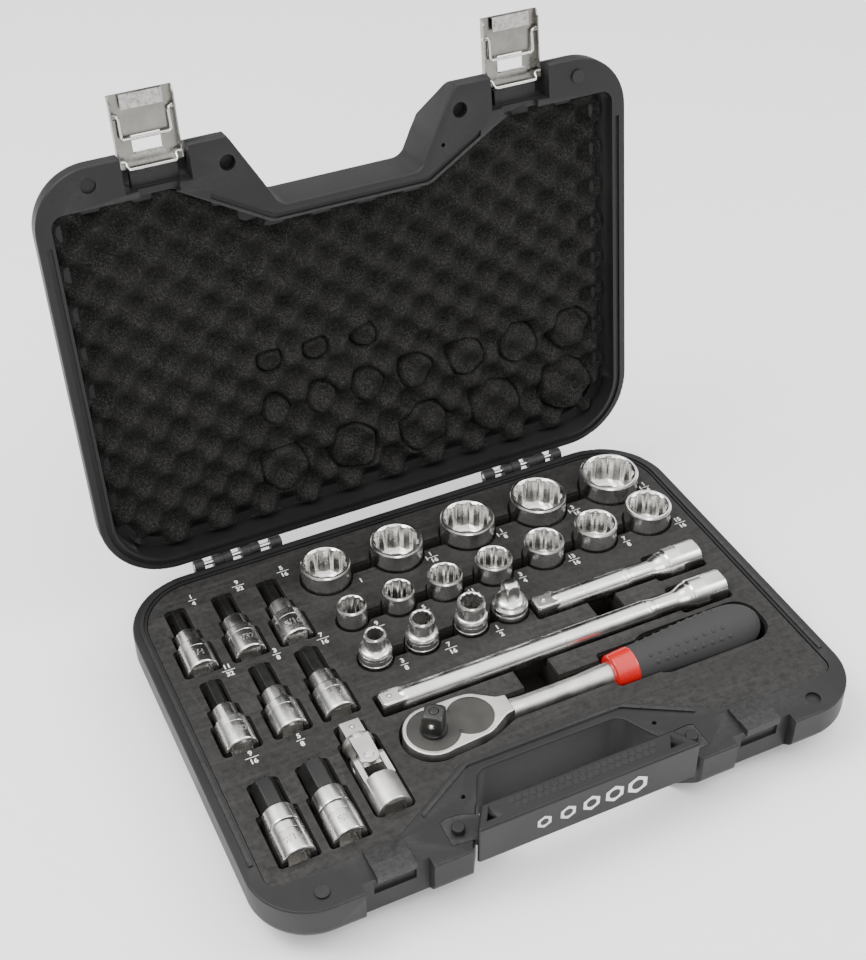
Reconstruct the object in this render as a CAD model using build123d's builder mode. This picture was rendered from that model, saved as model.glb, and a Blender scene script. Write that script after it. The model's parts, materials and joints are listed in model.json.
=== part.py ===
from build123d import *
import os

os.makedirs("parts", exist_ok=True)

# Socket wrench set in a hinged carrying case. Millimetres, +X to the right, +Y to the hinge, +Z up.
# The origin is the centre of the base's flat underside. The lid and its latches are drawn shut,
# then swung open about the hinge axis, because open is how the set rests.

# Case
CASE_X = 400.0
CASE_Y = 289.0
BACK_R = 48.0
FRONT_R = 38.0
BASE_RIM = 39.8
BASE_BEVEL = 18.0
BASE_INSET = 22.0
LID_RIM = 40.2
LID_BEVEL = 12.5
LID_TOP = 74.2
LID_INSET = 25.0
RIM_EDGE_R = 1.2
FRONT_Y = -CASE_Y / 2
BACK_Y = CASE_Y / 2

# Hinge
HINGE_Y = 148.5
HINGE_Z = 40.0
LID_ANGLE = 97.9
PIN_R = 1.6
PIN_ENDS = (79.3, 142.6)
BASE_KNUCKLES = ((79.3, 87.5), (95.1, 101.7), (121.9, 129.0), (135.7, 142.6))
LID_KNUCKLES = ((101.9, 108.8), (115.5, 121.7))
BASE_KNUCKLE_R = 3.9
LID_KNUCKLE_R = 4.3
KNUCKLE_PLAY = 0.05

# Tray
TRAY_TOP = 39.0
SHEET_T = 2.5
FOAM_TOP = TRAY_TOP - SHEET_T
FLOOR_Z = 4.0
SIDE_GAP = 0.5
TRAY_X = 190.0
TRAY_BACK = 135.5
TRAY_FRONT = -118.5
TRAY_BACK_R = 38.0
STEP_X = 113.6
STEP_TOP_X = 54.0
STEP_Y = -83.5
# the well under the tray, each level as bottom, top and inset
WELL_STEPS = ((18.0, BASE_RIM, 0), (8.6, 18.0, 8), (FLOOR_Z, 8.6, 15))
RIB_IN = 2.4
RIB_OUT = 4.8
RIB_H = 1.2
RIB_PLAY = 0.4

# Carry handle and the notch it stands in
NOTCH_Y = -93.5
NOTCH_X = 48.5
NOTCH_R = 10.0
BAR_X = 74.3
BAR_BACK_X = 63.9
BAR_FRONT = -143.9
BAR_BACK = -127.3
BAR_LOW = 25.2
BAR_HIGH = 54.8
EAR_T = 5.0
EAR = ((-85.4, -118.9), (-82.4, -117.5), (-72.4, -118.1), (-63.0, -122.5), (-58.0, -134.0),
       (-66.0, -142.0), (-72.2, -137.4), (-85.8, -135.9))
STUD_X = 78.3
STUD_Y = -128.0
STUD_R = 4.0
STUD_TOP = 44.0

# Latches
LATCH_X = 122.0
LATCH_SLOT = 42.0
LEVER_X = 39.6
LEVER_PIVOT = (-138.6, 50.0)
LEVER_LOW = 10.0
LEVER_HIGH = 56.0
LEVER_T = 1.0
LEVER_FACE = -142.2
BAIL_PIVOT = (-140.2, 22.6)
BAIL_BAR = (-139.2, 37.0)
WIRE_R = 1.0
KEEPER_X = 24.0
KEEPER_Y = -128.4
KEEPER_D = 18.4
NOSE_LOW = 38.5
NOSE_FRONT = -140.4

# Drive sizes
SQUARE = 12.7
SQUARE_HOLE = 13.0
INCH = 25.4


def tray_outline(grow):
    """The tray's outline: a rectangle whose front is stepped back behind the handle."""
    with BuildSketch() as outline:
        Polygon(
            (-TRAY_X, TRAY_BACK), (-TRAY_X, TRAY_FRONT), (-STEP_X, TRAY_FRONT),
            (-STEP_TOP_X, STEP_Y), (STEP_TOP_X, STEP_Y), (STEP_X, TRAY_FRONT),
            (TRAY_X, TRAY_FRONT), (TRAY_X, TRAY_BACK), align=None,
        )
        fillet(outline.vertices().group_by(Axis.Y)[-1], TRAY_BACK_R)
        fillet(outline.vertices().filter_by_position(Axis.Y, STEP_Y - 0.1, STEP_Y + 0.1), 12)
        fillet(outline.vertices().filter_by_position(Axis.Y, TRAY_FRONT - 0.1, TRAY_FRONT + 0.1), 8)
        if grow:
            offset(amount=grow, kind=Kind.INTERSECTION)
    return outline.sketch


def case_outline(inset):
    """The outline that both shells share, drawn in by an inset."""
    with BuildSketch() as outline:
        Rectangle(CASE_X - 2 * inset, CASE_Y - 2 * inset)
        fillet(outline.vertices().group_by(Axis.Y)[-1], BACK_R - inset)
        fillet(outline.vertices().group_by(Axis.Y)[0], FRONT_R - inset)
    return outline.sketch


def notch_outline():
    """The opening for fingers at the front, with flared sides."""
    with BuildSketch() as outline:
        Polygon(
            (-NOTCH_X, NOTCH_Y), (NOTCH_X, NOTCH_Y), (57, -110), (74.5, -141), (80, -150),
            (-80, -150), (-74.5, -141), (-57, -110), align=None,
        )
        fillet(outline.vertices().filter_by_position(Axis.Y, NOTCH_Y - 0.1, NOTCH_Y + 0.1), NOTCH_R)
        fillet(outline.vertices().filter_by_position(Axis.Y, -110.1, -109.9), 12)
        fillet(outline.vertices().filter_by_position(Axis.Y, -141.1, -140.9), 4)
    return outline.sketch


def ear_outline(grow):
    """Both ears of the handle, seen from above."""
    with BuildSketch() as outline:
        Polygon(*EAR, align=None)
        Polygon(*[(-x, y) for x, y in EAR], align=None)
        if grow:
            offset(amount=grow, kind=Kind.INTERSECTION)
    return outline.sketch


def rib_outline(inner, outer):
    """The sealing rib round the tray, left off the flat front corners."""
    with BuildSketch() as outline:
        add(tray_outline(outer))
        add(tray_outline(inner), mode=Mode.SUBTRACT)
        with Locations((-150, -120), (150, -120)):
            Rectangle(2 * (150 - 92), 40, mode=Mode.SUBTRACT)
    return outline.sketch


def save(piece, label, swing=None):
    """Writes one piece, swung open with the lid where that applies."""
    solid = piece.part if swing is None else swing * piece.part
    solid.label = label
    export_step(solid, f"parts/{label}.step")


def swing_about(y, z, angle):
    """A turn by an angle in degrees about the X direction through (y, z)."""
    return Location((0, y, z)) * Location((0, 0, 0), (angle, 0, 0)) * Location((0, -y, -z))


LID_OPEN = swing_about(HINGE_Y, HINGE_Z, -LID_ANGLE)
LEVER_OPEN = LID_OPEN * swing_about(*LEVER_PIVOT, -90)


# ---------------------------------------------------------------- base shell
with BuildPart() as base_shell:
    with BuildSketch(Plane.XY.offset(BASE_BEVEL)):
        add(case_outline(0))
    extrude(amount=BASE_RIM - BASE_BEVEL)
    with BuildSketch(Plane.XY):
        add(case_outline(BASE_INSET))
    with BuildSketch(Plane.XY.offset(BASE_BEVEL)):
        add(case_outline(0))
    loft(ruled=True)
    fillet(base_shell.edges().filter_by_position(Axis.Z, BASE_BEVEL - 0.1, BASE_BEVEL + 0.1), 8)
    with BuildSketch(Plane.XY.offset(-1)):
        add(notch_outline())
    extrude(amount=BASE_RIM + 2, mode=Mode.SUBTRACT)
    fillet(base_shell.faces().sort_by(Axis.Z)[-1].outer_wire().edges(), RIM_EDGE_R)
    # latch recesses, a shallow pocket under each keeper's nose
    for side in (-1, 1):
        with Locations((side * LATCH_X, FRONT_Y, 28)):
            Box(LATCH_SLOT, 14, 44, mode=Mode.SUBTRACT)
        with Locations((side * LATCH_X, FRONT_Y + 7, 32)):
            Box(KEEPER_X + 2, 4, 11, mode=Mode.SUBTRACT)
    # well for the tray, drawn in step by step above the bevel
    for low, high, inset in WELL_STEPS:
        with BuildSketch(Plane.XY.offset(low)):
            add(tray_outline(SIDE_GAP - inset))
        extrude(amount=high - low, mode=Mode.SUBTRACT)
    with BuildSketch(Plane.XY.offset(BASE_RIM)):
        add(rib_outline(RIB_IN, RIB_OUT))
    extrude(amount=RIB_H)
    # seats for the handle's ears
    with BuildSketch(Plane.XY.offset(BASE_RIM - EAR_T)):
        add(ear_outline(0.3))
    extrude(amount=EAR_T + 1, mode=Mode.SUBTRACT)
    # keepers, each a plate with a nose that the bail hooks under
    for side in (-1, 1):
        with BuildSketch(Plane.XY.offset(BASE_RIM - 1)):
            with Locations((side * LATCH_X, KEEPER_Y)):
                Rectangle(KEEPER_X, KEEPER_D)
        extrude(amount=4)
        with BuildSketch(Plane.XY.offset(NOSE_LOW)):
            with Locations((side * LATCH_X, (NOSE_FRONT - 131) / 2)):
                Rectangle(KEEPER_X, -131 - NOSE_FRONT)
        extrude(amount=5.4)
    # location peg at the left, its partner recess at the right, and two small pin holes
    with Locations((-164, -132.9, BASE_RIM + 0.6)):
        Cylinder(4.4, 1.6)
    with Locations((164, -132.9, BASE_RIM)):
        Cylinder(4.8, 4, mode=Mode.SUBTRACT)
    with Locations((-65, -107.5, BASE_RIM), (65, -107.5, BASE_RIM)):
        Cylinder(1.5, 8, mode=Mode.SUBTRACT)
    # hinge knuckles and their brackets
    for side in (-1, 1):
        with Locations((side * sum(PIN_ENDS) / 2, HINGE_Y, HINGE_Z)):
            Cylinder(LID_KNUCKLE_R + 0.5, 22.4, rotation=(0, 90, 0), mode=Mode.SUBTRACT)
        for start, end in BASE_KNUCKLES:
            with BuildSketch(Plane.YZ.offset(side * start if side > 0 else side * end)):
                with Locations((HINGE_Y, HINGE_Z)):
                    Circle(BASE_KNUCKLE_R)
                Polygon((BACK_Y - 3, 24), (BACK_Y + 0.2, 24), (HINGE_Y + 3.4, 38.2),
                        (HINGE_Y, HINGE_Z), (HINGE_Y - 3.6, 38.6), (BACK_Y - 3, 38.6), align=None)
            extrude(amount=end - start)
        with Locations((side * sum(PIN_ENDS) / 2, HINGE_Y, HINGE_Z)):
            Cylinder(PIN_R + 0.01, PIN_ENDS[1] - PIN_ENDS[0] + 8, rotation=(0, 90, 0), mode=Mode.SUBTRACT)
save(base_shell, "base_shell")

with BuildPart() as hinge_pins:
    for side in (-1, 1):
        with Locations((side * sum(PIN_ENDS) / 2, HINGE_Y, HINGE_Z)):
            Cylinder(PIN_R, PIN_ENDS[1] - PIN_ENDS[0], rotation=(0, 90, 0))
save(hinge_pins, "hinge_pins")


# ---------------------------------------------------------------- lid shell
with BuildPart() as lid_shell:
    with BuildSketch(Plane.XY.offset(LID_RIM)):
        add(case_outline(0))
    extrude(amount=LID_BEVEL)
    with BuildSketch(Plane.XY.offset(LID_RIM + LID_BEVEL)):
        add(case_outline(0))
    with BuildSketch(Plane.XY.offset(LID_TOP)):
        add(case_outline(LID_INSET))
    loft(ruled=True)
    bevel_z = LID_RIM + LID_BEVEL
    fillet(lid_shell.edges().filter_by_position(Axis.Z, bevel_z - 0.1, bevel_z + 0.1), 8)
    with BuildSketch(Plane.XY.offset(LID_RIM - 1)):
        add(notch_outline())
    extrude(amount=LID_TOP - LID_RIM + 2, mode=Mode.SUBTRACT)
    fillet(lid_shell.faces().sort_by(Axis.Z)[0].outer_wire().edges(), RIM_EDGE_R)
    # hollow for the foam and the tools' tops
    for low, high, inset in ((LID_RIM, 56, 0), (56, 64, 8), (64, LID_TOP - 3, 16)):
        with BuildSketch(Plane.XY.offset(low)):
            add(tray_outline(-inset))
        extrude(amount=high - low, mode=Mode.SUBTRACT)
    with BuildSketch(Plane.XY.offset(LID_RIM)):
        add(rib_outline(RIB_IN - RIB_PLAY, RIB_OUT + RIB_PLAY))
    extrude(amount=RIB_H + RIB_PLAY, mode=Mode.SUBTRACT)
    for side in (-1, 1):
        # pocket for the latch, open to the front and to the rim, with its lug across it
        with Locations((side * LATCH_X, FRONT_Y + 8, LID_RIM + 9)):
            Box(LATCH_SLOT, 28, 26, mode=Mode.SUBTRACT)
        with BuildSketch(Plane.YZ.offset(side * LATCH_X - 15)):
            Polygon((-121.5, 48), (-131.4, 48), (-132.4, 49), (-132.4, 51.8), (-131.6, 52.6),
                    (-121.5, 52.6), align=None)
        extrude(amount=30)
        # relief over the keeper's plate
        with Locations((side * LATCH_X, -121, LID_RIM)):
            Box(KEEPER_X + 1.4, 7, 8, mode=Mode.SUBTRACT)
        with Locations((side * STUD_X, STUD_Y, LID_RIM)):
            Cylinder(5.0, 14, mode=Mode.SUBTRACT)
    with Locations((-164, -132.9, LID_RIM)):
        Cylinder(4.8, 4, mode=Mode.SUBTRACT)
    with Locations((164, -132.9, LID_RIM - 0.6)):
        Cylinder(4.4, 1.6)
    with Locations((65, -107.5, LID_RIM)):
        Cylinder(1.3, 8, mode=Mode.SUBTRACT)
    for side in (-1, 1):
        for start, end in BASE_KNUCKLES:
            with Locations((side * (start + end) / 2, HINGE_Y, HINGE_Z)):
                Cylinder(BASE_KNUCKLE_R + 0.5, end - start + 1, rotation=(0, 90, 0),
                         mode=Mode.SUBTRACT)
        for start, end in LID_KNUCKLES:
            with BuildSketch(Plane.YZ.offset(side * start if side > 0 else side * end)):
                with Locations((HINGE_Y, HINGE_Z)):
                    Circle(LID_KNUCKLE_R)
                Polygon((BACK_Y - 3, 56), (BACK_Y + 0.2, 56), (HINGE_Y + 3.9, 41.8),
                        (HINGE_Y, HINGE_Z), (HINGE_Y - 3.8, 42.0), (BACK_Y - 3, 42.0), align=None)
            extrude(amount=end - start)
        with Locations((side * sum(PIN_ENDS) / 2, HINGE_Y, HINGE_Z)):
            Cylinder(PIN_R + KNUCKLE_PLAY, PIN_ENDS[1] - PIN_ENDS[0] + 8, rotation=(0, 90, 0),
                     mode=Mode.SUBTRACT)
save(lid_shell, "lid_shell", LID_OPEN)

with BuildPart() as lid_foam:
    for low, high, inset in ((50, 55.8, 1), (55.8, 63.8, 9), (63.8, LID_TOP - 3.2, 17)):
        with BuildSketch(Plane.XY.offset(low)):
            add(tray_outline(-inset))
        extrude(amount=high - low)
save(lid_foam, "lid_foam", LID_OPEN)


# ---------------------------------------------------------------- carry handle
with BuildPart() as carry_handle:
    with BuildSketch(Plane.XY.offset(BAR_LOW)):
        Polygon((-BAR_BACK_X, BAR_BACK), (BAR_BACK_X, BAR_BACK), (BAR_X, BAR_FRONT),
                (-BAR_X, BAR_FRONT), align=None)
    extrude(amount=BAR_HIGH - BAR_LOW)
    fillet(carry_handle.edges().filter_by(Axis.Z), 1.5)
    fillet(carry_handle.edges().filter_by(Plane.XY), 1.8)
    with BuildSketch(Plane.XY.offset(BASE_RIM - EAR_T)):
        add(ear_outline(0))
    extrude(amount=EAR_T)
    with BuildSketch(Plane.XY.offset(BAR_HIGH)):
        for side in (-1, 1):
            Polygon((side * 66.5, -139.4), (side * 55.0, -139.4), (side * 60.5, -129.9), align=None)
    extrude(amount=-9, mode=Mode.SUBTRACT)
    with Locations((-STUD_X, STUD_Y, BASE_RIM), (STUD_X, STUD_Y, BASE_RIM)):
        Cylinder(STUD_R - 1.55, 20, mode=Mode.SUBTRACT)
save(carry_handle, "carry_handle")

with BuildPart() as handle_studs:
    with Locations((-STUD_X, STUD_Y, BASE_RIM), (STUD_X, STUD_Y, BASE_RIM)):
        Cylinder(STUD_R, STUD_TOP - BASE_RIM, align=(Align.CENTER, Align.CENTER, Align.MIN))
        Cylinder(STUD_R - 1.6, EAR_T, align=(Align.CENTER, Align.CENTER, Align.MAX))
    fillet(handle_studs.edges().filter_by_position(Axis.Z, STUD_TOP - 0.1, STUD_TOP + 0.1), 0.8)
save(handle_studs, "handle_studs")


# ---------------------------------------------------------------- latches
def wire(points, radius, bend):
    """A bent round wire along a route of points."""
    with BuildPart() as bent:
        with BuildLine() as route:
            FilletPolyline(*points, radius=bend)
        with BuildSketch(Plane(origin=route.line @ 0, z_dir=route.line % 0)):
            Circle(radius)
        sweep()
    return bent


def latch_lever(x):
    """A channel of sheet steel: a face, two flanges, a folded end and a bent tongue."""
    half = LEVER_X / 2
    with BuildPart() as lever:
        with Locations((x, LEVER_FACE - LEVER_T / 2, (LEVER_LOW + LEVER_HIGH) / 2)):
            Box(LEVER_X, LEVER_T, LEVER_HIGH - LEVER_LOW)
        for side in (-1, 1):
            with BuildSketch(Plane.YZ.offset(x + side * half - (LEVER_T if side > 0 else 0))):
                Polygon((LEVER_FACE - LEVER_T, LEVER_LOW), (-141, LEVER_LOW), (-138.2, 15),
                        (-138.2, 43), (-136.2, 47), (-136.2, 53), (-138, LEVER_HIGH),
                        (LEVER_FACE - LEVER_T, LEVER_HIGH), align=None)
            extrude(amount=LEVER_T)
            # tab round the bail's pivot
            with Locations((x + side * (half - LEVER_T - 0.9), *BAIL_PIVOT)):
                Cylinder(1.9, 1.8, rotation=(0, 90, 0))
        with Locations((x, (LEVER_FACE - LEVER_T - 139.0) / 2, LEVER_LOW + 0.4)):
            Box(26, -139.0 - LEVER_FACE + LEVER_T, 0.8)
        with Locations((x, -139.4, LEVER_LOW + 4.5)):
            Box(26, 0.8, 9)
        with Locations((x, LEVER_FACE - LEVER_T / 2, 41.4)):
            Box(18, 2 * LEVER_T, 10.8, mode=Mode.SUBTRACT)
        with BuildSketch(Plane.YZ.offset(x - 8.6)):
            Polygon((LEVER_FACE - LEVER_T, 47.6), (LEVER_FACE, 47.4), (-138.6, 45.7), (-138.6, 44.9),
                    (LEVER_FACE, 46.4), (LEVER_FACE - LEVER_T, 46.6), align=None)
        extrude(amount=17.2)
        with Locations((x, *BAIL_PIVOT), (x, *LEVER_PIVOT)):
            Cylinder(WIRE_R + KNUCKLE_PLAY, LEVER_X + 2, rotation=(0, 90, 0), mode=Mode.SUBTRACT)
    return lever


for side, name in ((-1, "left"), (1, "right")):
    x = side * LATCH_X
    pin, arm = LEVER_X / 2 + 0.4, LEVER_X / 2 - LEVER_T - 3.4
    save(latch_lever(x), f"latch_lever_{name}", LEVER_OPEN)
    bail = wire([(x - pin, *BAIL_PIVOT), (x - arm, *BAIL_PIVOT), (x - arm, *BAIL_BAR),
                 (x + arm, *BAIL_BAR), (x + arm, *BAIL_PIVOT), (x + pin, *BAIL_PIVOT)], WIRE_R, 1.9)
    save(bail, f"latch_bail_{name}", LEVER_OPEN)
    link_bar = (-134.8, 45.9)
    link = wire([(x - pin, *LEVER_PIVOT), (x - arm, *LEVER_PIVOT), (x - arm, *link_bar),
                 (x + arm, *link_bar), (x + arm, *LEVER_PIVOT), (x + pin, *LEVER_PIVOT)], WIRE_R, 1.9)
    save(link, f"latch_link_{name}", LID_OPEN)


# ---------------------------------------------------------------- sockets, standing with the mouth up
# name, size across flats in inches, x, y, head radius, length, height of the mouth
SOCKETS = (
    ("socket_1_inch", 1, -64.7, 100.3, 17, 42, 53.0),
    ("socket_1_1_16_inch", 1 + 1 / 16, -12.2, 100.3, 18, 42, 53.0),
    ("socket_1_1_8_inch", 1 + 1 / 8, 42.0, 100.3, 19, 43, 53.0),
    ("socket_1_3_16_inch", 1 + 3 / 16, 98.0, 100.3, 20, 43, 53.0),
    ("socket_1_1_4_inch", 1 + 1 / 4, 156.0, 100.3, 21, 44, 53.0),
    ("socket_9_16_inch", 9 / 16, -65.0, 55.0, 10, 38, 53.5),
    ("socket_5_8_inch", 5 / 8, -31.6, 55.0, 11, 38, 53.5),
    ("socket_11_16_inch", 11 / 16, 2.6, 55.0, 12, 38, 53.5),
    ("socket_3_4_inch", 3 / 4, 39.0, 55.0, 13, 38, 53.5),
    ("socket_13_16_inch", 13 / 16, 77.9, 55.3, 14, 40, 53.5),
    ("socket_7_8_inch", 7 / 8, 118.8, 55.6, 15, 40, 53.5),
    ("socket_15_16_inch", 15 / 16, 161.4, 56.2, 16.25, 42, 53.5),
    ("socket_3_8_inch", 3 / 8, -65.2, 17.0, 7.4, 38, 61.3),
    ("socket_7_16_inch", 7 / 16, -32.3, 17.0, 8.2, 38, 61.3),
    ("socket_1_2_inch", 1 / 2, 3.0, 17.0, 9.2, 38, 61.3),
)
SOCKET_BASE_R = 11.0
SOCKET_BASE_TOP = 48.0
WALL_STEP = 1.5


def socket(size, x, y, head_r, length, top):
    """A twelve-point socket: a turned body, a double hexagon mouth and a square hole below it."""
    low = top - length
    with BuildPart() as body:
        with BuildSketch(Plane.XZ.offset(-y)) as profile:
            with BuildLine():
                if head_r < SOCKET_BASE_R - 1:
                    Polyline((x, low), (x + SOCKET_BASE_R - 0.8, low), (x + SOCKET_BASE_R, low + 0.8),
                             (x + SOCKET_BASE_R, SOCKET_BASE_TOP - 2.6),
                             (x + SOCKET_BASE_R - 0.8, SOCKET_BASE_TOP - 1.6),
                             (x + head_r + 0.5, SOCKET_BASE_TOP + 1.4), (x + head_r, SOCKET_BASE_TOP + 3.2),
                             (x + head_r, top - 0.7), (x + head_r - 0.7, top), (x, top), close=True)
                else:
                    drive_r = max(head_r - WALL_STEP, SOCKET_BASE_R - 1.5)
                    Polyline((x, low), (x + drive_r - 0.8, low), (x + drive_r, low + 0.8),
                             (x + drive_r, low + 13), (x + head_r, low + 15), (x + head_r, top - 0.9),
                             (x + head_r - 0.9, top), (x, top), close=True)
            make_face()
        revolve(axis=Axis((x, y, 0), (0, 0, 1)))
        flat = size * INCH / 2
        depth = length * 0.52
        for turn in (0, 30):
            with BuildSketch(Plane.XY.offset(top)):
                with Locations((x, y)):
                    RegularPolygon(flat, 6, major_radius=False, rotation=turn)
            extrude(amount=-depth, mode=Mode.SUBTRACT)
        with Locations((x, y, top - depth)):
            Cylinder(min(flat, head_r - 2.5), 2.5, mode=Mode.SUBTRACT)
        with Locations((x, y, low + length / 4)):
            Box(SQUARE_HOLE, SQUARE_HOLE, length / 2 + 1, mode=Mode.SUBTRACT)
    return body


for name, size, x, y, head_r, length, top in SOCKETS:
    save(socket(size, x, y, head_r, length, top), name)

# Adapter from the half inch drive to three eighths, standing with its square up
ADAPTER_X = 32.0
ADAPTER_Y = 18.0
ADAPTER_R = 12.0
ADAPTER_LOW = 27.0
ADAPTER_TOP = 64.0
with BuildPart() as drive_adapter:
    with BuildSketch(Plane.XZ.offset(-ADAPTER_Y)):
        with BuildLine():
            Polyline((ADAPTER_X, ADAPTER_LOW), (ADAPTER_X + ADAPTER_R - 0.8, ADAPTER_LOW),
                     (ADAPTER_X + ADAPTER_R, ADAPTER_LOW + 0.8), (ADAPTER_X + ADAPTER_R, 47.5))
            RadiusArc((ADAPTER_X + ADAPTER_R, 47.5), (ADAPTER_X + 5.6, 53.6), -8.4)
            Polyline((ADAPTER_X + 5.6, 53.6), (ADAPTER_X, 53.6), (ADAPTER_X, ADAPTER_LOW))
        make_face()
    revolve(axis=Axis((ADAPTER_X, ADAPTER_Y, 0), (0, 0, 1)))
    with BuildSketch(Plane.XY.offset(52)):
        with Locations((ADAPTER_X, ADAPTER_Y)):
            Rectangle(9.5, 9.5)
    extrude(amount=ADAPTER_TOP - 52)
    chamfer(drive_adapter.faces().sort_by(Axis.Z)[-1].edges(), 0.9)
    with Locations((ADAPTER_X, ADAPTER_Y, ADAPTER_LOW + 8)):
        Box(SQUARE_HOLE, SQUARE_HOLE, 17, mode=Mode.SUBTRACT)
save(drive_adapter, "drive_adapter")


# ---------------------------------------------------------------- hex bits in their holders, lying
# name, size across flats in inches, x, y of the tip, neck radius
BITS = (
    ("1_4", 1 / 4, -168.3, 113.5, 7.8),
    ("9_32", 9 / 32, -135.8, 113.5, 7.8),
    ("5_16", 5 / 16, -103.5, 113.5, 7.8),
    ("11_32", 11 / 32, -168.0, 42.5, 8.4),
    ("3_8", 3 / 8, -135.3, 42.5, 8.4),
    ("7_16", 7 / 16, -103.3, 42.5, 9.0),
    ("9_16", 9 / 16, -166.7, -46.5, 11.0),
    ("5_8", 5 / 8, -135.4, -46.5, 11.0),
)
BIT_LENGTH = 60.0
BIT_SHOWING = 24.0
BIT_SUNK = 11.0
BIT_AXIS_Z = 38.0
HOLDER_R = 10.8
NECK_LENGTH = 13.0
BAND_LENGTH = 5.5
DRIVE_DEPTH = 15.0


def bit_holder(size, x, tip_y, neck_r):
    """A turned holder with a hexagon hole at the bit's end and a square one at the other."""
    start = tip_y - BIT_SHOWING
    end = tip_y - BIT_LENGTH
    step = start - NECK_LENGTH
    wide = max(neck_r, HOLDER_R)
    with BuildPart() as holder:
        with BuildSketch(Plane.XY.offset(BIT_AXIS_Z)):
            with BuildLine():
                Polyline((x, start), (x + neck_r - 0.8, start), (x + neck_r, start - 0.8), (x + neck_r, step),
                         (x + wide, step - 1.2), (x + wide, end + 0.8), (x + wide - 0.8, end), (x, end),
                         close=True)
            make_face()
        revolve(axis=Axis((x, 0, BIT_AXIS_Z), (0, 1, 0)))
        with BuildSketch(Plane.XZ.offset(-start)):
            with Locations((x, BIT_AXIS_Z)):
                RegularPolygon(size * INCH / 2, 6, major_radius=False)
        extrude(amount=BIT_SUNK, mode=Mode.SUBTRACT)
        with Locations((x, end + DRIVE_DEPTH / 2 - 0.5, BIT_AXIS_Z)):
            Box(SQUARE_HOLE, DRIVE_DEPTH + 1, SQUARE_HOLE, mode=Mode.SUBTRACT)
    return holder


def hex_bit(size, x, tip_y):
    """A hexagon bar with a chamfered tip, seated in its holder."""
    with BuildPart() as bar:
        with BuildSketch(Plane.XZ.offset(-tip_y)):
            with Locations((x, BIT_AXIS_Z)):
                RegularPolygon(size * INCH / 2, 6, major_radius=False)
        extrude(amount=BIT_SHOWING + BIT_SUNK)
        chamfer(bar.faces().sort_by(Axis.Y)[-1].edges(), 0.6)
    return bar


for name, size, x, tip_y, neck_r in BITS:
    save(bit_holder(size, x, tip_y, neck_r), f"bit_holder_{name}")
    save(hex_bit(size, x, tip_y), f"hex_bit_{name}")


# ---------------------------------------------------------------- extension bars, lying
# name, y, x of the tip, x of the far end
EXTENSIONS = (("extension_bar_long", -22.0, -79.5, 170.5), ("extension_bar_short", 11.0, 47.0, 172.0))
EXT_Z = 39.0
EXT_ROD_R = 7.5
EXT_END_R = 11.0
EXT_END_LENGTH = 25.0
EXT_TIP = 17.0
EXT_WAIST_R = 6.6

for name, y, x0, x1 in EXTENSIONS:
    neck_x = x1 - EXT_END_LENGTH
    with BuildPart() as bar:
        with BuildSketch(Plane.XZ.offset(-y)):
            with BuildLine():
                Polyline((x0 + EXT_TIP - 5, EXT_Z), (x0 + EXT_TIP - 5, EXT_Z + 6.2),
                         (x0 + EXT_TIP + 1, EXT_Z + EXT_ROD_R), (neck_x - 34, EXT_Z + EXT_ROD_R),
                         (neck_x - 28, EXT_Z + EXT_WAIST_R), (neck_x - 9, EXT_Z + EXT_WAIST_R),
                         (neck_x, EXT_Z + EXT_END_R), (x1 - 0.8, EXT_Z + EXT_END_R),
                         (x1, EXT_Z + EXT_END_R - 0.8), (x1, EXT_Z), close=True)
            make_face()
        revolve(axis=Axis((0, y, EXT_Z), (1, 0, 0)))
        with Locations((x0 + EXT_TIP / 2, y, EXT_Z)):
            Box(EXT_TIP, SQUARE, SQUARE)
        chamfer(bar.faces().sort_by(Axis.X)[0].edges(), 1.0)
        with Locations((x1 - DRIVE_DEPTH / 2 + 0.5, y, EXT_Z)):
            Box(DRIVE_DEPTH + 1, SQUARE_HOLE, SQUARE_HOLE, mode=Mode.SUBTRACT)
    save(bar, name)


# ---------------------------------------------------------------- universal joint, lying
UJ_X = -103.6
UJ_Y = -60.0
UJ_Z = 38.0
UJ_BACK = -28.0
UJ_FRONT = -98.0
UJ_R = 11.0
YOKE_R = 10.0
EAR_IN = 6.5
EAR_R = 6.1
UJ_PIN_R = 2.6

with BuildPart() as joint_socket_yoke:
    with Locations((UJ_X, (UJ_FRONT - 75) / 2, UJ_Z)):
        Cylinder(UJ_R, -75 - UJ_FRONT, rotation=(90, 0, 0))
    chamfer(joint_socket_yoke.edges().filter_by(GeomType.CIRCLE), 0.7)
    for side in (-1, 1):
        with BuildSketch(Plane.YZ.offset(UJ_X + (EAR_IN if side > 0 else -EAR_IN - 3.4))):
            with Locations((UJ_Y, UJ_Z)):
                Circle(EAR_R)
            with Locations(((UJ_Y - 76) / 2, UJ_Z)):
                Rectangle(76 + UJ_Y, 2 * EAR_R)
        extrude(amount=3.4)
    with Locations((UJ_X, UJ_Y, UJ_Z)):
        Cylinder(UJ_PIN_R + KNUCKLE_PLAY, 40, rotation=(0, 90, 0), mode=Mode.SUBTRACT)
    with Locations((UJ_X, UJ_FRONT + DRIVE_DEPTH / 2 - 0.5, UJ_Z)):
        Box(SQUARE_HOLE, DRIVE_DEPTH + 1, SQUARE_HOLE, mode=Mode.SUBTRACT)
save(joint_socket_yoke, "joint_socket_yoke")

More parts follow.
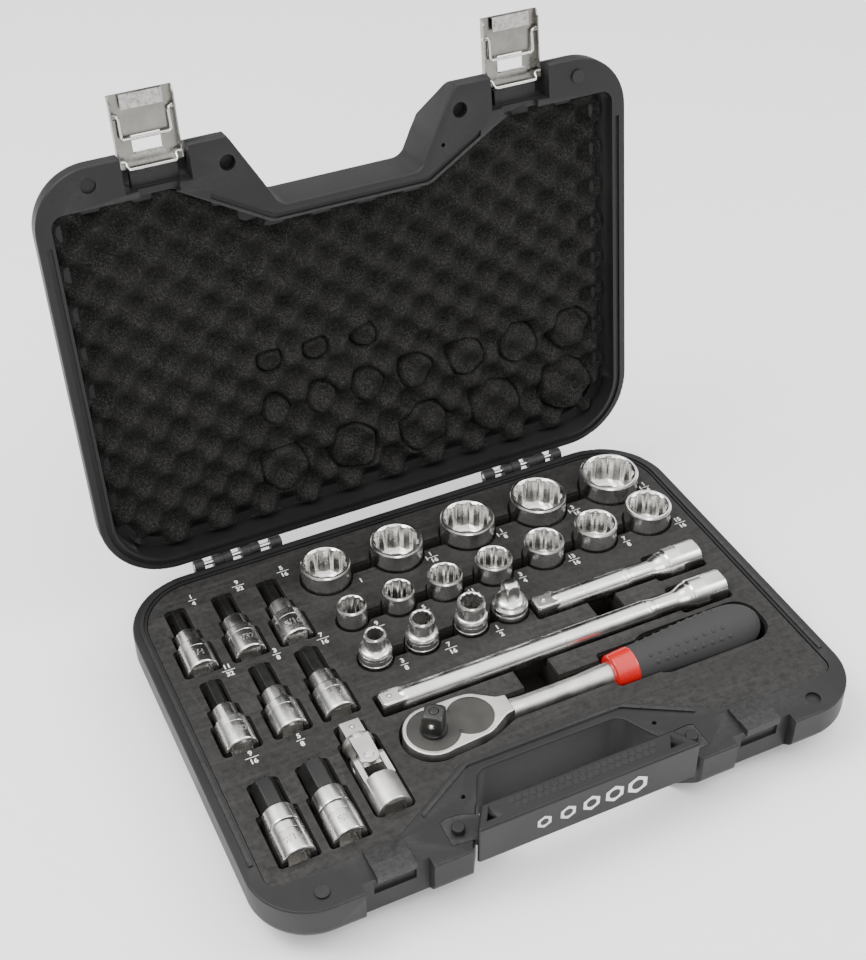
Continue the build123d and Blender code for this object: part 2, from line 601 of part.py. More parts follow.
with BuildPart() as joint_square_yoke:
    with Locations((UJ_X, (-46 - 41) / 2, UJ_Z)):
        Cylinder(YOKE_R, 5, rotation=(90, 0, 0))
    chamfer(joint_square_yoke.edges().filter_by(GeomType.CIRCLE), 0.7)
    for side in (-1, 1):
        with BuildSketch(Plane.XY.offset(UJ_Z + (EAR_IN if side > 0 else -EAR_IN - 3.0))):
            with Locations((UJ_X, UJ_Y)):
                Circle(EAR_R)
            with Locations((UJ_X, (UJ_Y - 44) / 2)):
                Rectangle(2 * EAR_R, -44 - UJ_Y)
        extrude(amount=3.0)
    with Locations((UJ_X, (UJ_BACK - 42) / 2, UJ_Z)):
        Box(SQUARE, 42 + UJ_BACK, SQUARE)
    chamfer(joint_square_yoke.faces().sort_by(Axis.Y)[-1].edges(), 0.8)
    with Locations((UJ_X, UJ_Y, UJ_Z)):
        Cylinder(UJ_PIN_R + KNUCKLE_PLAY, 40, mode=Mode.SUBTRACT)
save(joint_square_yoke, "joint_square_yoke")

with BuildPart() as joint_cross:
    with Locations((UJ_X, UJ_Y, UJ_Z)):
        Box(12.4, 12.0, 12.4)
    chamfer(joint_cross.edges().filter_by(Axis.Y), 1.0)
    with Locations((UJ_X, UJ_Y, UJ_Z)):
        Cylinder(UJ_PIN_R, 19.4, rotation=(0, 90, 0))
        Cylinder(UJ_PIN_R, 18.6)
save(joint_cross, "joint_cross")


# ---------------------------------------------------------------- ratchet, lying with its square up
RAT_Y = -57.0
RAT_Z = 35.0
HEAD_TOP = 43.6
HEAD_LOW = 26.4
DRIVE_C = (-59.5, RAT_Y)
LOBE_C = (-34.5, -56.2)
DRIVE_LOBE_R = 19.4
SMALL_LOBE_R = 17.6
PLATE_IN = 2.6
SCREWS = ((-45.0, RAT_Y - 7.8), (-45.6, RAT_Y + 9.0))
SHANK_R = 6.6
COLLAR_X = (64.0, 80.0)
GRIP_END = 176.0


def head_outline(inset):
    """The two-lobed outline of the ratchet's head, drawn in by an inset."""
    with BuildSketch() as outline:
        with Locations(DRIVE_C):
            Circle(DRIVE_LOBE_R - inset)
        with Locations(LOBE_C):
            Circle(SMALL_LOBE_R - inset)
    return outline.sketch


with BuildPart() as ratchet_handle:
    with BuildSketch(Plane.XY.offset(HEAD_LOW)):
        add(head_outline(0))
        Polygon((-62, RAT_Y - 19.0), (-36, RAT_Y - 16.6), (-24, RAT_Y - 13), (-8, RAT_Y - 5),
                (-8, RAT_Y + 5), (-24, RAT_Y + 14), (-36, RAT_Y + 18), (-56, RAT_Y + 19.0), align=None)
    extrude(amount=HEAD_TOP - HEAD_LOW)
    with BuildSketch(Plane.XY.offset(HEAD_TOP)):
        add(head_outline(PLATE_IN))
    extrude(amount=-2.0, mode=Mode.SUBTRACT)
    with Locations((*DRIVE_C, RAT_Z)):
        Cylinder(15.2, HEAD_TOP - HEAD_LOW - 5.2, mode=Mode.SUBTRACT)
        Cylinder(10.2, HEAD_TOP - HEAD_LOW, align=(Align.CENTER, Align.CENTER, Align.MIN),
                 mode=Mode.SUBTRACT)
    # the reversing lever's recess in the underside, and its spindle's hole
    with Locations((*LOBE_C, HEAD_LOW)):
        Cylinder(10.5, 4, mode=Mode.SUBTRACT)
        Cylinder(3.05, 14, mode=Mode.SUBTRACT)
    with BuildSketch(Plane.XZ.offset(-RAT_Y)):
        with BuildLine():
            Polyline((-16, RAT_Z), (-16, RAT_Z + 7.6), (-2, RAT_Z + SHANK_R), (40, RAT_Z + SHANK_R),
                     (56, RAT_Z + 7.6), (COLLAR_X[0], RAT_Z + 8.2), (COLLAR_X[0], RAT_Z + 6),
                     (158, RAT_Z + 6), (158, RAT_Z), close=True)
        make_face()
    revolve(axis=Axis((0, RAT_Y, RAT_Z), (1, 0, 0)))
save(ratchet_handle, "ratchet_handle")

with BuildPart() as ratchet_plate:
    with BuildSketch(Plane.XY.offset(HEAD_TOP - 2.0)):
        add(head_outline(PLATE_IN + 0.05))
        with Locations(DRIVE_C):
            Circle(9.0, mode=Mode.SUBTRACT)
        with Locations(*SCREWS):
            Circle(1.3, mode=Mode.SUBTRACT)
    extrude(amount=2.0)
save(ratchet_plate, "ratchet_plate")

with BuildPart() as plate_screws:
    with Locations(*[(x, y, HEAD_TOP - 2) for x, y in SCREWS]):
        Cylinder(1.25, 1.8, align=(Align.CENTER, Align.CENTER, Align.MIN))
save(plate_screws, "plate_screws")

with BuildPart() as ratchet_drive:
    # toothed wheel in the head's bore, its collar and the square that drives a socket
    with BuildSketch(Plane.XY.offset(HEAD_LOW + 2.9)):
        with Locations(DRIVE_C):
            Circle(14.9)
        with Locations(DRIVE_C):
            with PolarLocations(14.9, 36):
                RegularPolygon(0.7, 3, mode=Mode.SUBTRACT)
    extrude(amount=HEAD_TOP - HEAD_LOW - 5.8)
    with Locations((*DRIVE_C, HEAD_TOP - 3)):
        Cylinder(8.7, 5.6, align=(Align.CENTER, Align.CENTER, Align.MIN))
    chamfer(ratchet_drive.faces().sort_by(Axis.Z)[-1].edges(), 0.8)
    with BuildSketch(Plane.XY.offset(HEAD_TOP)):
        with Locations(DRIVE_C):
            Rectangle(SQUARE, SQUARE, rotation=-38)
    extrude(amount=17.0)
    chamfer(ratchet_drive.faces().sort_by(Axis.Z)[-1].edges(), 1.3)
    with Locations((*DRIVE_C, HEAD_TOP + 8)):
        Cylinder(2.95, 10, align=(Align.CENTER, Align.CENTER, Align.MIN), mode=Mode.SUBTRACT)
save(ratchet_drive, "ratchet_drive")

with BuildPart() as release_button:
    with Locations((*DRIVE_C, HEAD_TOP + 10.5)):
        Cylinder(2.85, 6.7, align=(Align.CENTER, Align.CENTER, Align.MIN))
    chamfer(release_button.faces().sort_by(Axis.Z)[-1].edges(), 0.3)
save(release_button, "release_button")

with BuildPart() as reversing_lever:
    with Locations((*LOBE_C, HEAD_LOW + 1.7)):
        Cylinder(10.2, 3.4, align=(Align.CENTER, Align.CENTER, Align.MAX))
        Cylinder(3.0, 4.8, align=(Align.CENTER, Align.CENTER, Align.MIN))
    with BuildSketch(Plane.XY.offset(HEAD_LOW - 1.7)):
        with Locations((LOBE_C[0] + 11, LOBE_C[1])):
            SlotOverall(16, 7)
    extrude(amount=1.6)
save(reversing_lever, "reversing_lever")

with BuildPart() as grip_collar:
    with BuildSketch(Plane.XZ.offset(-RAT_Y)):
        with BuildLine():
            Polyline((COLLAR_X[0], RAT_Z + 6.02), (COLLAR_X[0], RAT_Z + 11.2),
                     (COLLAR_X[0] + 1.2, RAT_Z + 12.2), (COLLAR_X[1], RAT_Z + 13.2),
                     (COLLAR_X[1], RAT_Z + 6.02), close=True)
        make_face()
    revolve(axis=Axis((0, RAT_Y, RAT_Z), (1, 0, 0)))
save(grip_collar, "grip_collar")

with BuildPart() as ratchet_grip:
    with BuildSketch(Plane.XZ.offset(-RAT_Y)):
        with BuildLine():
            Spline((COLLAR_X[1], RAT_Z + 12.8), (100, RAT_Z + 13.6), (125, RAT_Z + 15.2),
                   (148, RAT_Z + 16.6), (164, RAT_Z + 14.8), (173.5, RAT_Z + 8.5), (GRIP_END, RAT_Z),
                   tangents=((1, 0.02), (0, -1)))
            Polyline((GRIP_END, RAT_Z), (158.2, RAT_Z), (158.2, RAT_Z + 6.02), (COLLAR_X[1], RAT_Z + 6.02),
                     (COLLAR_X[1], RAT_Z + 12.8))
        make_face()
    revolve(axis=Axis((0, RAT_Y, RAT_Z), (1, 0, 0)))
save(ratchet_grip, "ratchet_grip")


# ---------------------------------------------------------------- tray: a thin sheet over a foam block
def lying_pocket(x0, x1, y, wide, corner):
    """A straight pocket with rounded corners, along X."""
    with Locations(((x0 + x1) / 2, y)):
        RectangleRounded(x1 - x0, wide, corner)


def standing_pockets(gap):
    """Round pockets for the sockets, one for each and a straight channel along each row."""
    with BuildSketch() as outline:
        for _, _, x, y, head_r, _, _ in SOCKETS:
            with Locations((x, y)):
                Circle(max(head_r, SOCKET_BASE_R if head_r < SOCKET_BASE_R - 1 else 0) + gap)
        with Locations((ADAPTER_X, ADAPTER_Y)):
            Circle(ADAPTER_R + gap)
    return outline.sketch


def channels(wide):
    """The channels that join the round pockets of a row."""
    with BuildSketch() as outline:
        lying_pocket(-64.7, 156.0, 100.3, wide, 1)
        lying_pocket(-65.0, 161.4, 55.2, wide, 1)
        lying_pocket(-65.2, 32.0, 17.2, wide, 1)
    return outline.sketch


def bit_pockets(gap):
    """Stepped pockets for the bits in their holders, and the universal joint's."""
    with BuildSketch() as outline:
        for _, size, x, tip_y, neck_r in BITS:
            end = tip_y - BIT_LENGTH
            start = tip_y - BIT_SHOWING
            step = start - NECK_LENGTH
            bit_wide = 2 * (max(5.4, size * INCH / 2 + 0.8) + gap)
            with Locations((x, (tip_y + end) / 2)):
                RectangleRounded(bit_wide, tip_y - end + 2 * gap, 3)
            with Locations((x, (start + end) / 2)):
                RectangleRounded(2 * (neck_r + gap), start - end + 2 * gap, 2)
            with Locations((x, (step + end) / 2)):
                RectangleRounded(2 * (HOLDER_R + gap + 0.2), step - end + 2 * gap, 3)
        with Locations((UJ_X, (UJ_BACK + UJ_FRONT) / 2)):
            RectangleRounded(SQUARE + 2 * gap + 3.4, UJ_BACK - UJ_FRONT + 2 * gap, 3)
        with Locations((UJ_X, (-41 + UJ_FRONT) / 2)):
            RectangleRounded(2 * (UJ_R + gap), -41 - UJ_FRONT + 2 * gap, 4)
    return outline.sketch


def bar_pockets(gap):
    """Pockets for the extension bars, with wider ends."""
    with BuildSketch() as outline:
        for _, y, x0, x1 in EXTENSIONS:
            lying_pocket(x0 - gap, x1 + gap, y, 2 * (EXT_ROD_R + gap), 2)
            lying_pocket(x1 - EXT_END_LENGTH - 10 - gap, x1 + gap, y, 2 * (EXT_END_R + gap), 3)
    return outline.sketch


def ratchet_pocket(gap):
    """The ratchet's pocket: its head, its shank and its grip."""
    with BuildSketch() as outline:
        add(head_outline(-gap))
        Polygon((-62, RAT_Y - 19 - gap), (-34, RAT_Y - 17.6 - gap), (-22, RAT_Y - 14 - gap),
                (-6, RAT_Y - 7 - gap), (-6, RAT_Y + 7 + gap), (-22, RAT_Y + 15 + gap),
                (-36, RAT_Y + 19 + gap), (-60, RAT_Y + 19 + gap), align=None)
        lying_pocket(-20, 70, RAT_Y, 2 * (SHANK_R + 1.6 + gap), 1)
        lying_pocket(COLLAR_X[0] - gap, 110, RAT_Y, 2 * (13.6 + gap), 3)
        lying_pocket(86, GRIP_END + gap, RAT_Y, 2 * (16.8 + gap), 15)
    return outline.sketch


def finger_recesses():
    """Two recesses that let a finger under the bars and the ratchet's shank."""
    with BuildSketch() as outline:
        with Locations((20.5, -39.0)):
            RectangleRounded(25, 34, 3)
        with Locations((92.0, -5.0)):
            RectangleRounded(21, 30, 3)
    return outline.sketch


SHEET_CUT = 2.0
FOAM_CUT = 1.3
CHANNEL_X = 9.5
with BuildPart() as tray_sheet:
    with BuildSketch(Plane.XY.offset(FOAM_TOP)):
        add(tray_outline(0))
        add(standing_pockets(SHEET_CUT - 0.6), mode=Mode.SUBTRACT)
        add(channels(CHANNEL_X), mode=Mode.SUBTRACT)
        add(bit_pockets(SHEET_CUT), mode=Mode.SUBTRACT)
        add(bar_pockets(SHEET_CUT), mode=Mode.SUBTRACT)
        add(ratchet_pocket(SHEET_CUT), mode=Mode.SUBTRACT)
        add(finger_recesses(), mode=Mode.SUBTRACT)
    extrude(amount=SHEET_T)
save(tray_sheet, "tray_sheet")

with BuildPart() as tray_foam:
    for low, high, inset in WELL_STEPS:
        with BuildSketch(Plane.XY.offset(low)):
            add(tray_outline(-inset))
        extrude(amount=min(high, FOAM_TOP) - low)
    for _, _, x, y, head_r, length, top in SOCKETS:
        pocket_r = max(head_r, SOCKET_BASE_R if head_r < SOCKET_BASE_R - 1 else 0) + FOAM_CUT - 0.6
        with Locations((x, y, top - length)):
            Cylinder(pocket_r, 60, align=(Align.CENTER, Align.CENTER, Align.MIN), mode=Mode.SUBTRACT)
    with Locations((ADAPTER_X, ADAPTER_Y, ADAPTER_LOW)):
        Cylinder(ADAPTER_R + FOAM_CUT - 0.6, 60, align=(Align.CENTER, Align.CENTER, Align.MIN),
                 mode=Mode.SUBTRACT)
    # how deep each of the other pockets goes
    for cut, depth_z in ((channels(CHANNEL_X - 1.2), 26.0), (bit_pockets(FOAM_CUT), BIT_AXIS_Z - UJ_R - 0.5),
                         (bar_pockets(FOAM_CUT), EXT_Z - EXT_END_R - 0.5),
                         (ratchet_pocket(FOAM_CUT), RAT_Z - 17.4), (finger_recesses(), 15.0)):
        with BuildSketch(Plane.XY.offset(depth_z)):
            add(cut)
        extrude(amount=40, mode=Mode.SUBTRACT)
save(tray_foam, "tray_foam")
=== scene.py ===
"""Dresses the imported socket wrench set: the case and its latches, the tray, the lid's foam and every tool."""
import json
import logging
import math
from dataclasses import dataclass, replace
from enum import Enum
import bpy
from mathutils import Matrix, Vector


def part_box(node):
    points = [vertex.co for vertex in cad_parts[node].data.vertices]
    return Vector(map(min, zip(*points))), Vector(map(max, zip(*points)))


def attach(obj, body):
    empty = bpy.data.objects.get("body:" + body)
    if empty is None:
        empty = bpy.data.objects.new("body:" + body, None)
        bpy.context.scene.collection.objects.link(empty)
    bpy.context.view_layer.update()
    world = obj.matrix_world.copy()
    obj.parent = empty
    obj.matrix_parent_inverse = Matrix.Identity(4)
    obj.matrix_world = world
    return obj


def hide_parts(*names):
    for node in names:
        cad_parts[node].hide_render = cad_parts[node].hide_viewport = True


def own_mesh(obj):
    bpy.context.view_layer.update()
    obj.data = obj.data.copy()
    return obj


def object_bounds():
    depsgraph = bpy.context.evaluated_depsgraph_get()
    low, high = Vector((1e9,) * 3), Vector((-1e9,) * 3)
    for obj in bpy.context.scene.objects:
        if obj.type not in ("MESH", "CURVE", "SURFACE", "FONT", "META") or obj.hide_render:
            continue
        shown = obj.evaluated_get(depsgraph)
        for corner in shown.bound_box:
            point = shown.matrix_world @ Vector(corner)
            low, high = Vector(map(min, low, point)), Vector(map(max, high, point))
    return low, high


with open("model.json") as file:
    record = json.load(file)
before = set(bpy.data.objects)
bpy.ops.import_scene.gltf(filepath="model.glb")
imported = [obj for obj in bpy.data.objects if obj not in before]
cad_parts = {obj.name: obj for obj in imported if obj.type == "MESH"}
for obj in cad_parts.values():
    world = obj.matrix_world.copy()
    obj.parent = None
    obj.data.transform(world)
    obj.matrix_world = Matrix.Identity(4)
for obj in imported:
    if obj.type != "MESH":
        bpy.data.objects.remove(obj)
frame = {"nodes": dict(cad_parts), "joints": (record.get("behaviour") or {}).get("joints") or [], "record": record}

from fractions import Fraction
from typing import Iterable, Sequence

import bmesh
import bpy
from mathutils import Matrix, Vector, noise
from mathutils.kdtree import KDTree

LOG = logging.getLogger("wrench_set")
MM = 0.001
INCH = 25.4 * MM
SEGMENTS = 144
SHARP = math.radians(32)
FOLDED = math.radians(130)
START_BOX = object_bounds()
# The cosine that takes a hexagon's half flat to its corner, the corner circle of a drive square over its
# half flat, and the height above which a socket's top marks it as one of the long pattern.
HEX_FLAT = math.cos(math.pi / 6)
SQUARE_CORNER = 1.36
LONG_TOP = 58 * MM
SMOOTH = 32.0
UP = Vector((0, 0, 1))
Colour = tuple[float, float, float]
Place = tuple[float, float, float]
Point = tuple[float, float]


# ---------------------------------------------------------------- shader groups
class Texture(Enum):
    """The surface effects that the finishes share, by the name of their node group."""

    GRAIN = "moulded_grain"
    STREAKS = "drawn_streaks"
    CELLS = "open_cells"
    PLATING = "plated_ripple"


class Wiring:
    """A node tree with short calls to add and join nodes."""

    def __init__(self, tree: bpy.types.NodeTree) -> None:
        """Holds the tree."""
        self.tree = tree

    def add(self, kind: str, inputs: dict | None = None, **settings: object) -> bpy.types.Node:
        """Adds a node.

        Args:
            kind: the node's type name, without its ShaderNode start.
            inputs: values or sockets for the node's inputs, by name or number.
            settings: the node's own settings.

        Returns:
            The new node.
        """
        node = self.tree.nodes.new("ShaderNode" + kind)
        for name, value in settings.items():
            setattr(node, name, value)
        for key, value in (inputs or {}).items():
            if isinstance(value, bpy.types.NodeSocket):
                self.tree.links.new(value, node.inputs[key])
            else:
                node.inputs[key].default_value = value
        return node

    def maths(self, operation: str, *values: object) -> bpy.types.NodeSocket:
        """One sum on numbers or sockets, and its result."""
        return self.add("Math", dict(enumerate(values)), operation=operation).outputs[0]

    def ramp(self, value: object, low: float, high: float, to_low: float = 0.0,
             to_high: float = 1.0) -> bpy.types.NodeSocket:
        """A value taken from one range to another, and clamped."""
        return self.add("MapRange", {0: value, 1: low, 2: high, 3: to_low, 4: to_high}).outputs[0]

    def mix(self, factor: object, one: object, other: object) -> bpy.types.NodeSocket:
        """Two colours mixed by a factor."""
        return self.add("Mix", {0: factor, 6: one, 7: other}, data_type="RGBA").outputs[2]

    def noise(self, place: object, scale: object, detail: float = 2.0,
              rough: float = 0.5) -> bpy.types.NodeSocket:
        """Soft noise at a scale."""
        inputs = {"Vector": place, "Scale": scale, "Detail": detail, "Roughness": rough}
        return self.add("TexNoise", inputs).outputs[0]

    def give(self, leave: bpy.types.Node, **results: bpy.types.NodeSocket) -> None:
        """Joins results to a group's outputs, by name."""
        for name, value in results.items():
            self.tree.links.new(value, leave.inputs[name])


def new_group(name: str, inputs: Sequence[str], outputs: Sequence[str]) -> tuple[Wiring, dict, bpy.types.Node]:
    """Starts a node group of numbers and vectors.

    Args:
        name: the group's name.
        inputs: names of the inputs; Vector is a vector and the others are numbers.
        outputs: names of the outputs, all numbers.

    Returns:
        The wiring, the input sockets by name, and the output node.
    """
    tree = bpy.data.node_groups.new(name, "ShaderNodeTree")
    for label in inputs:
        kind = "NodeSocketVector" if label == "Vector" else "NodeSocketFloat"
        tree.interface.new_socket(label, in_out="INPUT", socket_type=kind)
    for label in outputs:
        tree.interface.new_socket(label, in_out="OUTPUT", socket_type="NodeSocketFloat")
    entry = tree.nodes.new("NodeGroupInput")
    leave = tree.nodes.new("NodeGroupOutput")
    return Wiring(tree), {label: entry.outputs[label] for label in inputs}, leave


def texture_group(texture: Texture) -> tuple:
    """Starts a texture's group: its wiring, place, scale and output node."""
    wires, given, leave = new_group(texture.value, ("Vector", "Scale"), ("Height", "Shade", "Speck"))
    return wires, given["Vector"], given["Scale"], leave


def grain_group() -> None:
    """Moulded plastic: a fine spark grain, with slow changes of shade."""
    wires, place, scale, leave = texture_group(Texture.GRAIN)
    fine = wires.noise(place, scale, 3.0, 0.7)
    pits = wires.add("TexVoronoi", {"Vector": place, "Scale": scale}).outputs[0]
    slow = wires.noise(place, 22.0, 4.0)
    wires.give(leave, Height=wires.maths("ADD", fine, wires.maths("MULTIPLY", pits, 0.6)),
               Shade=wires.ramp(slow, 0.35, 0.65), Speck=wires.ramp(fine, 0.56, 0.72))


def streak_group() -> None:
    """A drawn or brushed face: long thin streaks along X over a fine grain."""
    wires, place, scale, leave = texture_group(Texture.STREAKS)
    along = wires.add("Mapping", {"Vector": place, "Scale": (0.045, 1.0, 0.2)}).outputs[0]
    streak = wires.noise(along, scale, 4.0, 0.75)
    fine = wires.noise(place, 2600.0, 1.0)
    slow = wires.noise(place, 16.0, 3.0)
    shade = wires.maths("MULTIPLY_ADD", slow, 0.15, wires.maths("MULTIPLY", streak, 0.85))
    wires.give(leave, Height=wires.maths("ADD", streak, wires.maths("MULTIPLY", fine, 0.35)),
               Shade=wires.ramp(shade, 0.36, 0.64), Speck=wires.ramp(streak, 0.58, 0.74))


def cell_group() -> None:
    """Open foam: round cells with thin bright walls that catch the light."""
    wires, place, scale, leave = texture_group(Texture.CELLS)
    cells = wires.add("TexVoronoi", {"Vector": place, "Scale": scale})
    coarse = wires.noise(place, 420.0, 3.0, 0.75)
    slow = wires.noise(place, 55.0, 3.0)
    sparkle = wires.add("TexWhiteNoise", {"Vector": cells.outputs["Position"]}, noise_dimensions="3D").outputs[0]
    walls = wires.maths("MULTIPLY", cells.outputs[0], 1.2)
    shade = wires.maths("MULTIPLY_ADD", slow, 0.35, wires.maths("MULTIPLY", coarse, 0.65))
    wires.give(leave, Height=wires.maths("MULTIPLY_ADD", coarse, 1.4, walls),
               Shade=wires.ramp(shade, 0.34, 0.66), Speck=wires.ramp(sparkle, 0.55, 1.0))


def plating_group() -> None:
    """Plated steel: a faint ripple under the plate, with hairline scratches."""
    wires, place, scale, leave = texture_group(Texture.PLATING)
    ripple = wires.noise(place, scale)
    hair = wires.noise(place, 1700.0, 2.0, 0.8)
    slow = wires.noise(place, 70.0, 3.0)
    wires.give(leave, Height=wires.maths("MULTIPLY_ADD", hair, 0.12, ripple),
               Shade=wires.ramp(slow, 0.35, 0.65), Speck=wires.ramp(hair, 0.6, 0.75))


def wear_group() -> None:
    """Rubbed edges: a mask of the outer edges, broken up by noise."""
    wires, given, leave = new_group("rubbed_edges", ("Vector", "Scale", "Amount"), ("Mask",))
    edge = wires.ramp(wires.add("NewGeometry").outputs["Pointiness"], 0.515, 0.6)
    patches = wires.noise(given["Vector"], given["Scale"], 4.0, 0.7)
    broken = wires.maths("MULTIPLY", edge, wires.ramp(patches, 0.3, 0.6))
    wires.give(leave, Mask=wires.maths("MULTIPLY", broken, given["Amount"]))


def build_groups() -> None:
    """Builds each shared shader group once."""
    for maker in (grain_group, streak_group, cell_group, plating_group, wear_group):
        maker()


@dataclass(frozen=True)
class Finish:
    """One finish of the set: its colours, shine and surface.

    dull and bright are the ends of the slow colour change, fleck is the colour of its fine specks, and
    worn is the colour that rubbed edges take. relief is the depth of the surface in metres.
    """

    name: str
    slot: str
    dull: Colour
    bright: Colour
    fleck: Colour
    worn: Colour
    rough: tuple[float, float]
    texture: Texture
    scale: float
    relief: float
    metal: float = 0.0
    wear: float = 0.5
    coat: float = 0.0
    sheen: float = 0.0
    specular: float = 0.5

    def material(self) -> bpy.types.Material:
        """The finish's material, made at its first use.

        Returns:
            The material.
        """
        known = bpy.data.materials.get(self.name)
        if known:
            return known
        made = bpy.data.materials.new(self.name)
        made.use_nodes = True
        made.diffuse_color = (*self.bright, 1.0)
        wires = Wiring(made.node_tree)
        shader = made.node_tree.nodes["Principled BSDF"]
        place = wires.add("TexCoord").outputs["Object"]
        effect = wires.add("Group", node_tree=bpy.data.node_groups[self.texture.value])
        edges = wires.add("Group", node_tree=bpy.data.node_groups["rubbed_edges"])
        for node, values in ((effect, {"Scale": self.scale}), (edges, {"Scale": 320.0, "Amount": self.wear})):
            made.node_tree.links.new(place, node.inputs["Vector"])
            for key, value in values.items():
                node.inputs[key].default_value = value
        base = wires.mix(effect.outputs["Shade"], (*self.dull, 1.0), (*self.bright, 1.0))
        flecked = wires.mix(effect.outputs["Speck"], base, (*self.fleck, 1.0))
        worn = wires.mix(edges.outputs["Mask"], flecked, (*self.worn, 1.0))
        rough = wires.ramp(effect.outputs["Shade"], 0.0, 1.0, *self.rough)
        bump = wires.add("Bump", {"Height": effect.outputs["Height"], "Distance": self.relief, "Strength": 1.0})
        made.node_tree.links.new(worn, shader.inputs["Base Color"])
        made.node_tree.links.new(rough, shader.inputs["Roughness"])
        made.node_tree.links.new(bump.outputs[0], shader.inputs["Normal"])
        shader.inputs["Metallic"].default_value = self.metal
        shader.inputs["Coat Weight"].default_value = self.coat
        shader.inputs["Coat Roughness"].default_value = 0.12
        shader.inputs["Sheen Weight"].default_value = self.sheen
        shader.inputs["Specular IOR Level"].default_value = self.specular
        return made


CASE = Finish("case_moulding", "case_plastic", (0.0105, 0.0105, 0.011), (0.0145, 0.0145, 0.015),
              (0.020, 0.020, 0.0205), (0.045, 0.044, 0.043), (0.42, 0.54), Texture.GRAIN, 1500.0, 0.00005,
              wear=0.55, specular=0.3)
HANDLE = replace(CASE, name="handle_moulding", rough=(0.36, 0.5), wear=0.6)
SHEET = Finish("tray_skin", "tray_sheet", (0.009, 0.009, 0.0092), (0.019, 0.019, 0.019), (0.032, 0.0315, 0.030),
               (0.08, 0.075, 0.07), (0.48, 0.6), Texture.STREAKS, 420.0, 0.00002, wear=0.35, specular=0.2)
POCKET = Finish("pocket_foam", "tray_foam", (0.008, 0.007, 0.006), (0.015, 0.0125, 0.011), (0.02, 0.018, 0.015),
                (0.03, 0.025, 0.02), (0.8, 0.95), Texture.CELLS, 1500.0, 0.00012, specular=0.2)
EGG_FOAM = Finish("egg_crate_foam", "lid_foam", (0.007, 0.007, 0.007), (0.022, 0.0215, 0.0205),
                  (0.046, 0.045, 0.042), (0.03, 0.029, 0.027), (0.85, 1.0), Texture.CELLS, 1500.0, 0.0004,
                  wear=0.2, specular=0.1)
CHROME = Finish("satin_chrome", "chrome", (0.70, 0.69, 0.67), (0.80, 0.79, 0.77), (0.62, 0.61, 0.59),
                (0.86, 0.85, 0.83), (0.2, 0.29), Texture.PLATING, 60.0, 0.000002, metal=1.0)
BORE = Finish("broached_bore", "chrome", (0.42, 0.385, 0.33), (0.60, 0.565, 0.50), (0.30, 0.27, 0.23),
              (0.72, 0.69, 0.63), (0.3, 0.42), Texture.PLATING, 90.0, 0.000003, metal=1.0)
# Painted shade: the bore steel is painted near black, standing in for the shade deep inside the square holes of
# the bit holders and the extension bars.
SHADE_PAINTED_BORE = replace(BORE, name="painted_shade_bore", dull=(0.05, 0.047, 0.04), bright=(0.09, 0.083, 0.07),
                    fleck=(0.04, 0.036, 0.03), worn=(0.2, 0.19, 0.17))
MATT_CHROME = replace(CHROME, name="matt_chrome", rough=(0.34, 0.46), dull=(0.60, 0.59, 0.57),
                      bright=(0.74, 0.73, 0.70))
KNURL = replace(CHROME, name="knurled_chrome", rough=(0.5, 0.62), dull=(0.74, 0.73, 0.70),
                bright=(0.84, 0.83, 0.80))
LATCH = replace(CHROME, name="plated_sheet_steel", slot="latch_steel", rough=(0.22, 0.34),
                dull=(0.20, 0.195, 0.18), bright=(0.29, 0.28, 0.26), fleck=(0.18, 0.17, 0.16),
                worn=(0.8, 0.79, 0.77))
WIRE = replace(CHROME, name="plated_wire", slot="latch_steel", rough=(0.16, 0.24))
PIN = replace(CHROME, name="bright_pin", slot="pin_steel", rough=(0.2, 0.3))
OXIDE = Finish("black_oxide", "black_steel", (0.010, 0.010, 0.010), (0.020, 0.020, 0.019), (0.035, 0.034, 0.032),
               (0.08, 0.077, 0.073), (0.3, 0.42), Texture.PLATING, 260.0, 0.000008, wear=0.4, specular=0.45)
PLATE = replace(OXIDE, name="cover_plate_black", dull=(0.030, 0.029, 0.026), bright=(0.044, 0.043, 0.038),
                rough=(0.45, 0.55))
RED = Finish("red_collar", "collar_red", (0.46, 0.006, 0.006), (0.56, 0.009, 0.008), (0.62, 0.014, 0.012),
             (0.66, 0.03, 0.025), (0.22, 0.32), Texture.GRAIN, 700.0, 0.00001, wear=0.2, coat=0.4)
RUBBER = Finish("grip_rubber", "grip_rubber", (0.014, 0.0145, 0.013), (0.020, 0.0205, 0.0185),
                (0.028, 0.028, 0.025), (0.04, 0.04, 0.037), (0.5, 0.62), Texture.GRAIN, 1400.0, 0.00005,
                wear=0.3, specular=0.3)
PRINT = Finish("printed_white", "tray_sheet", (0.62, 0.62, 0.61), (0.78, 0.78, 0.77), (0.5, 0.5, 0.49),
               (0.8, 0.8, 0.8), (0.5, 0.6), Texture.GRAIN, 2500.0, 0.00002, wear=0.0)
STAMP = replace(CHROME, name="etched_figures", dull=(0.16, 0.155, 0.15), bright=(0.24, 0.23, 0.22),
                rough=(0.5, 0.6))
BIT_STEEL = replace(OXIDE, name="black_bit_steel", dull=(0.005, 0.005, 0.005), bright=(0.009, 0.009, 0.0085),
                    rough=(0.26, 0.36))
SEAT = replace(BORE, name="staked_seat", dull=(0.30, 0.24, 0.14), bright=(0.45, 0.38, 0.25))
BALL = replace(CHROME, name="steel_ball", rough=(0.08, 0.14))


# ---------------------------------------------------------------- mesh tools
class Sides(Enum):
    """The shape of a ring, by its number of flats."""

    ROUND = 0
    SQUARE = 4
    HEXAGON = 6
    TWELVE_POINT = 12


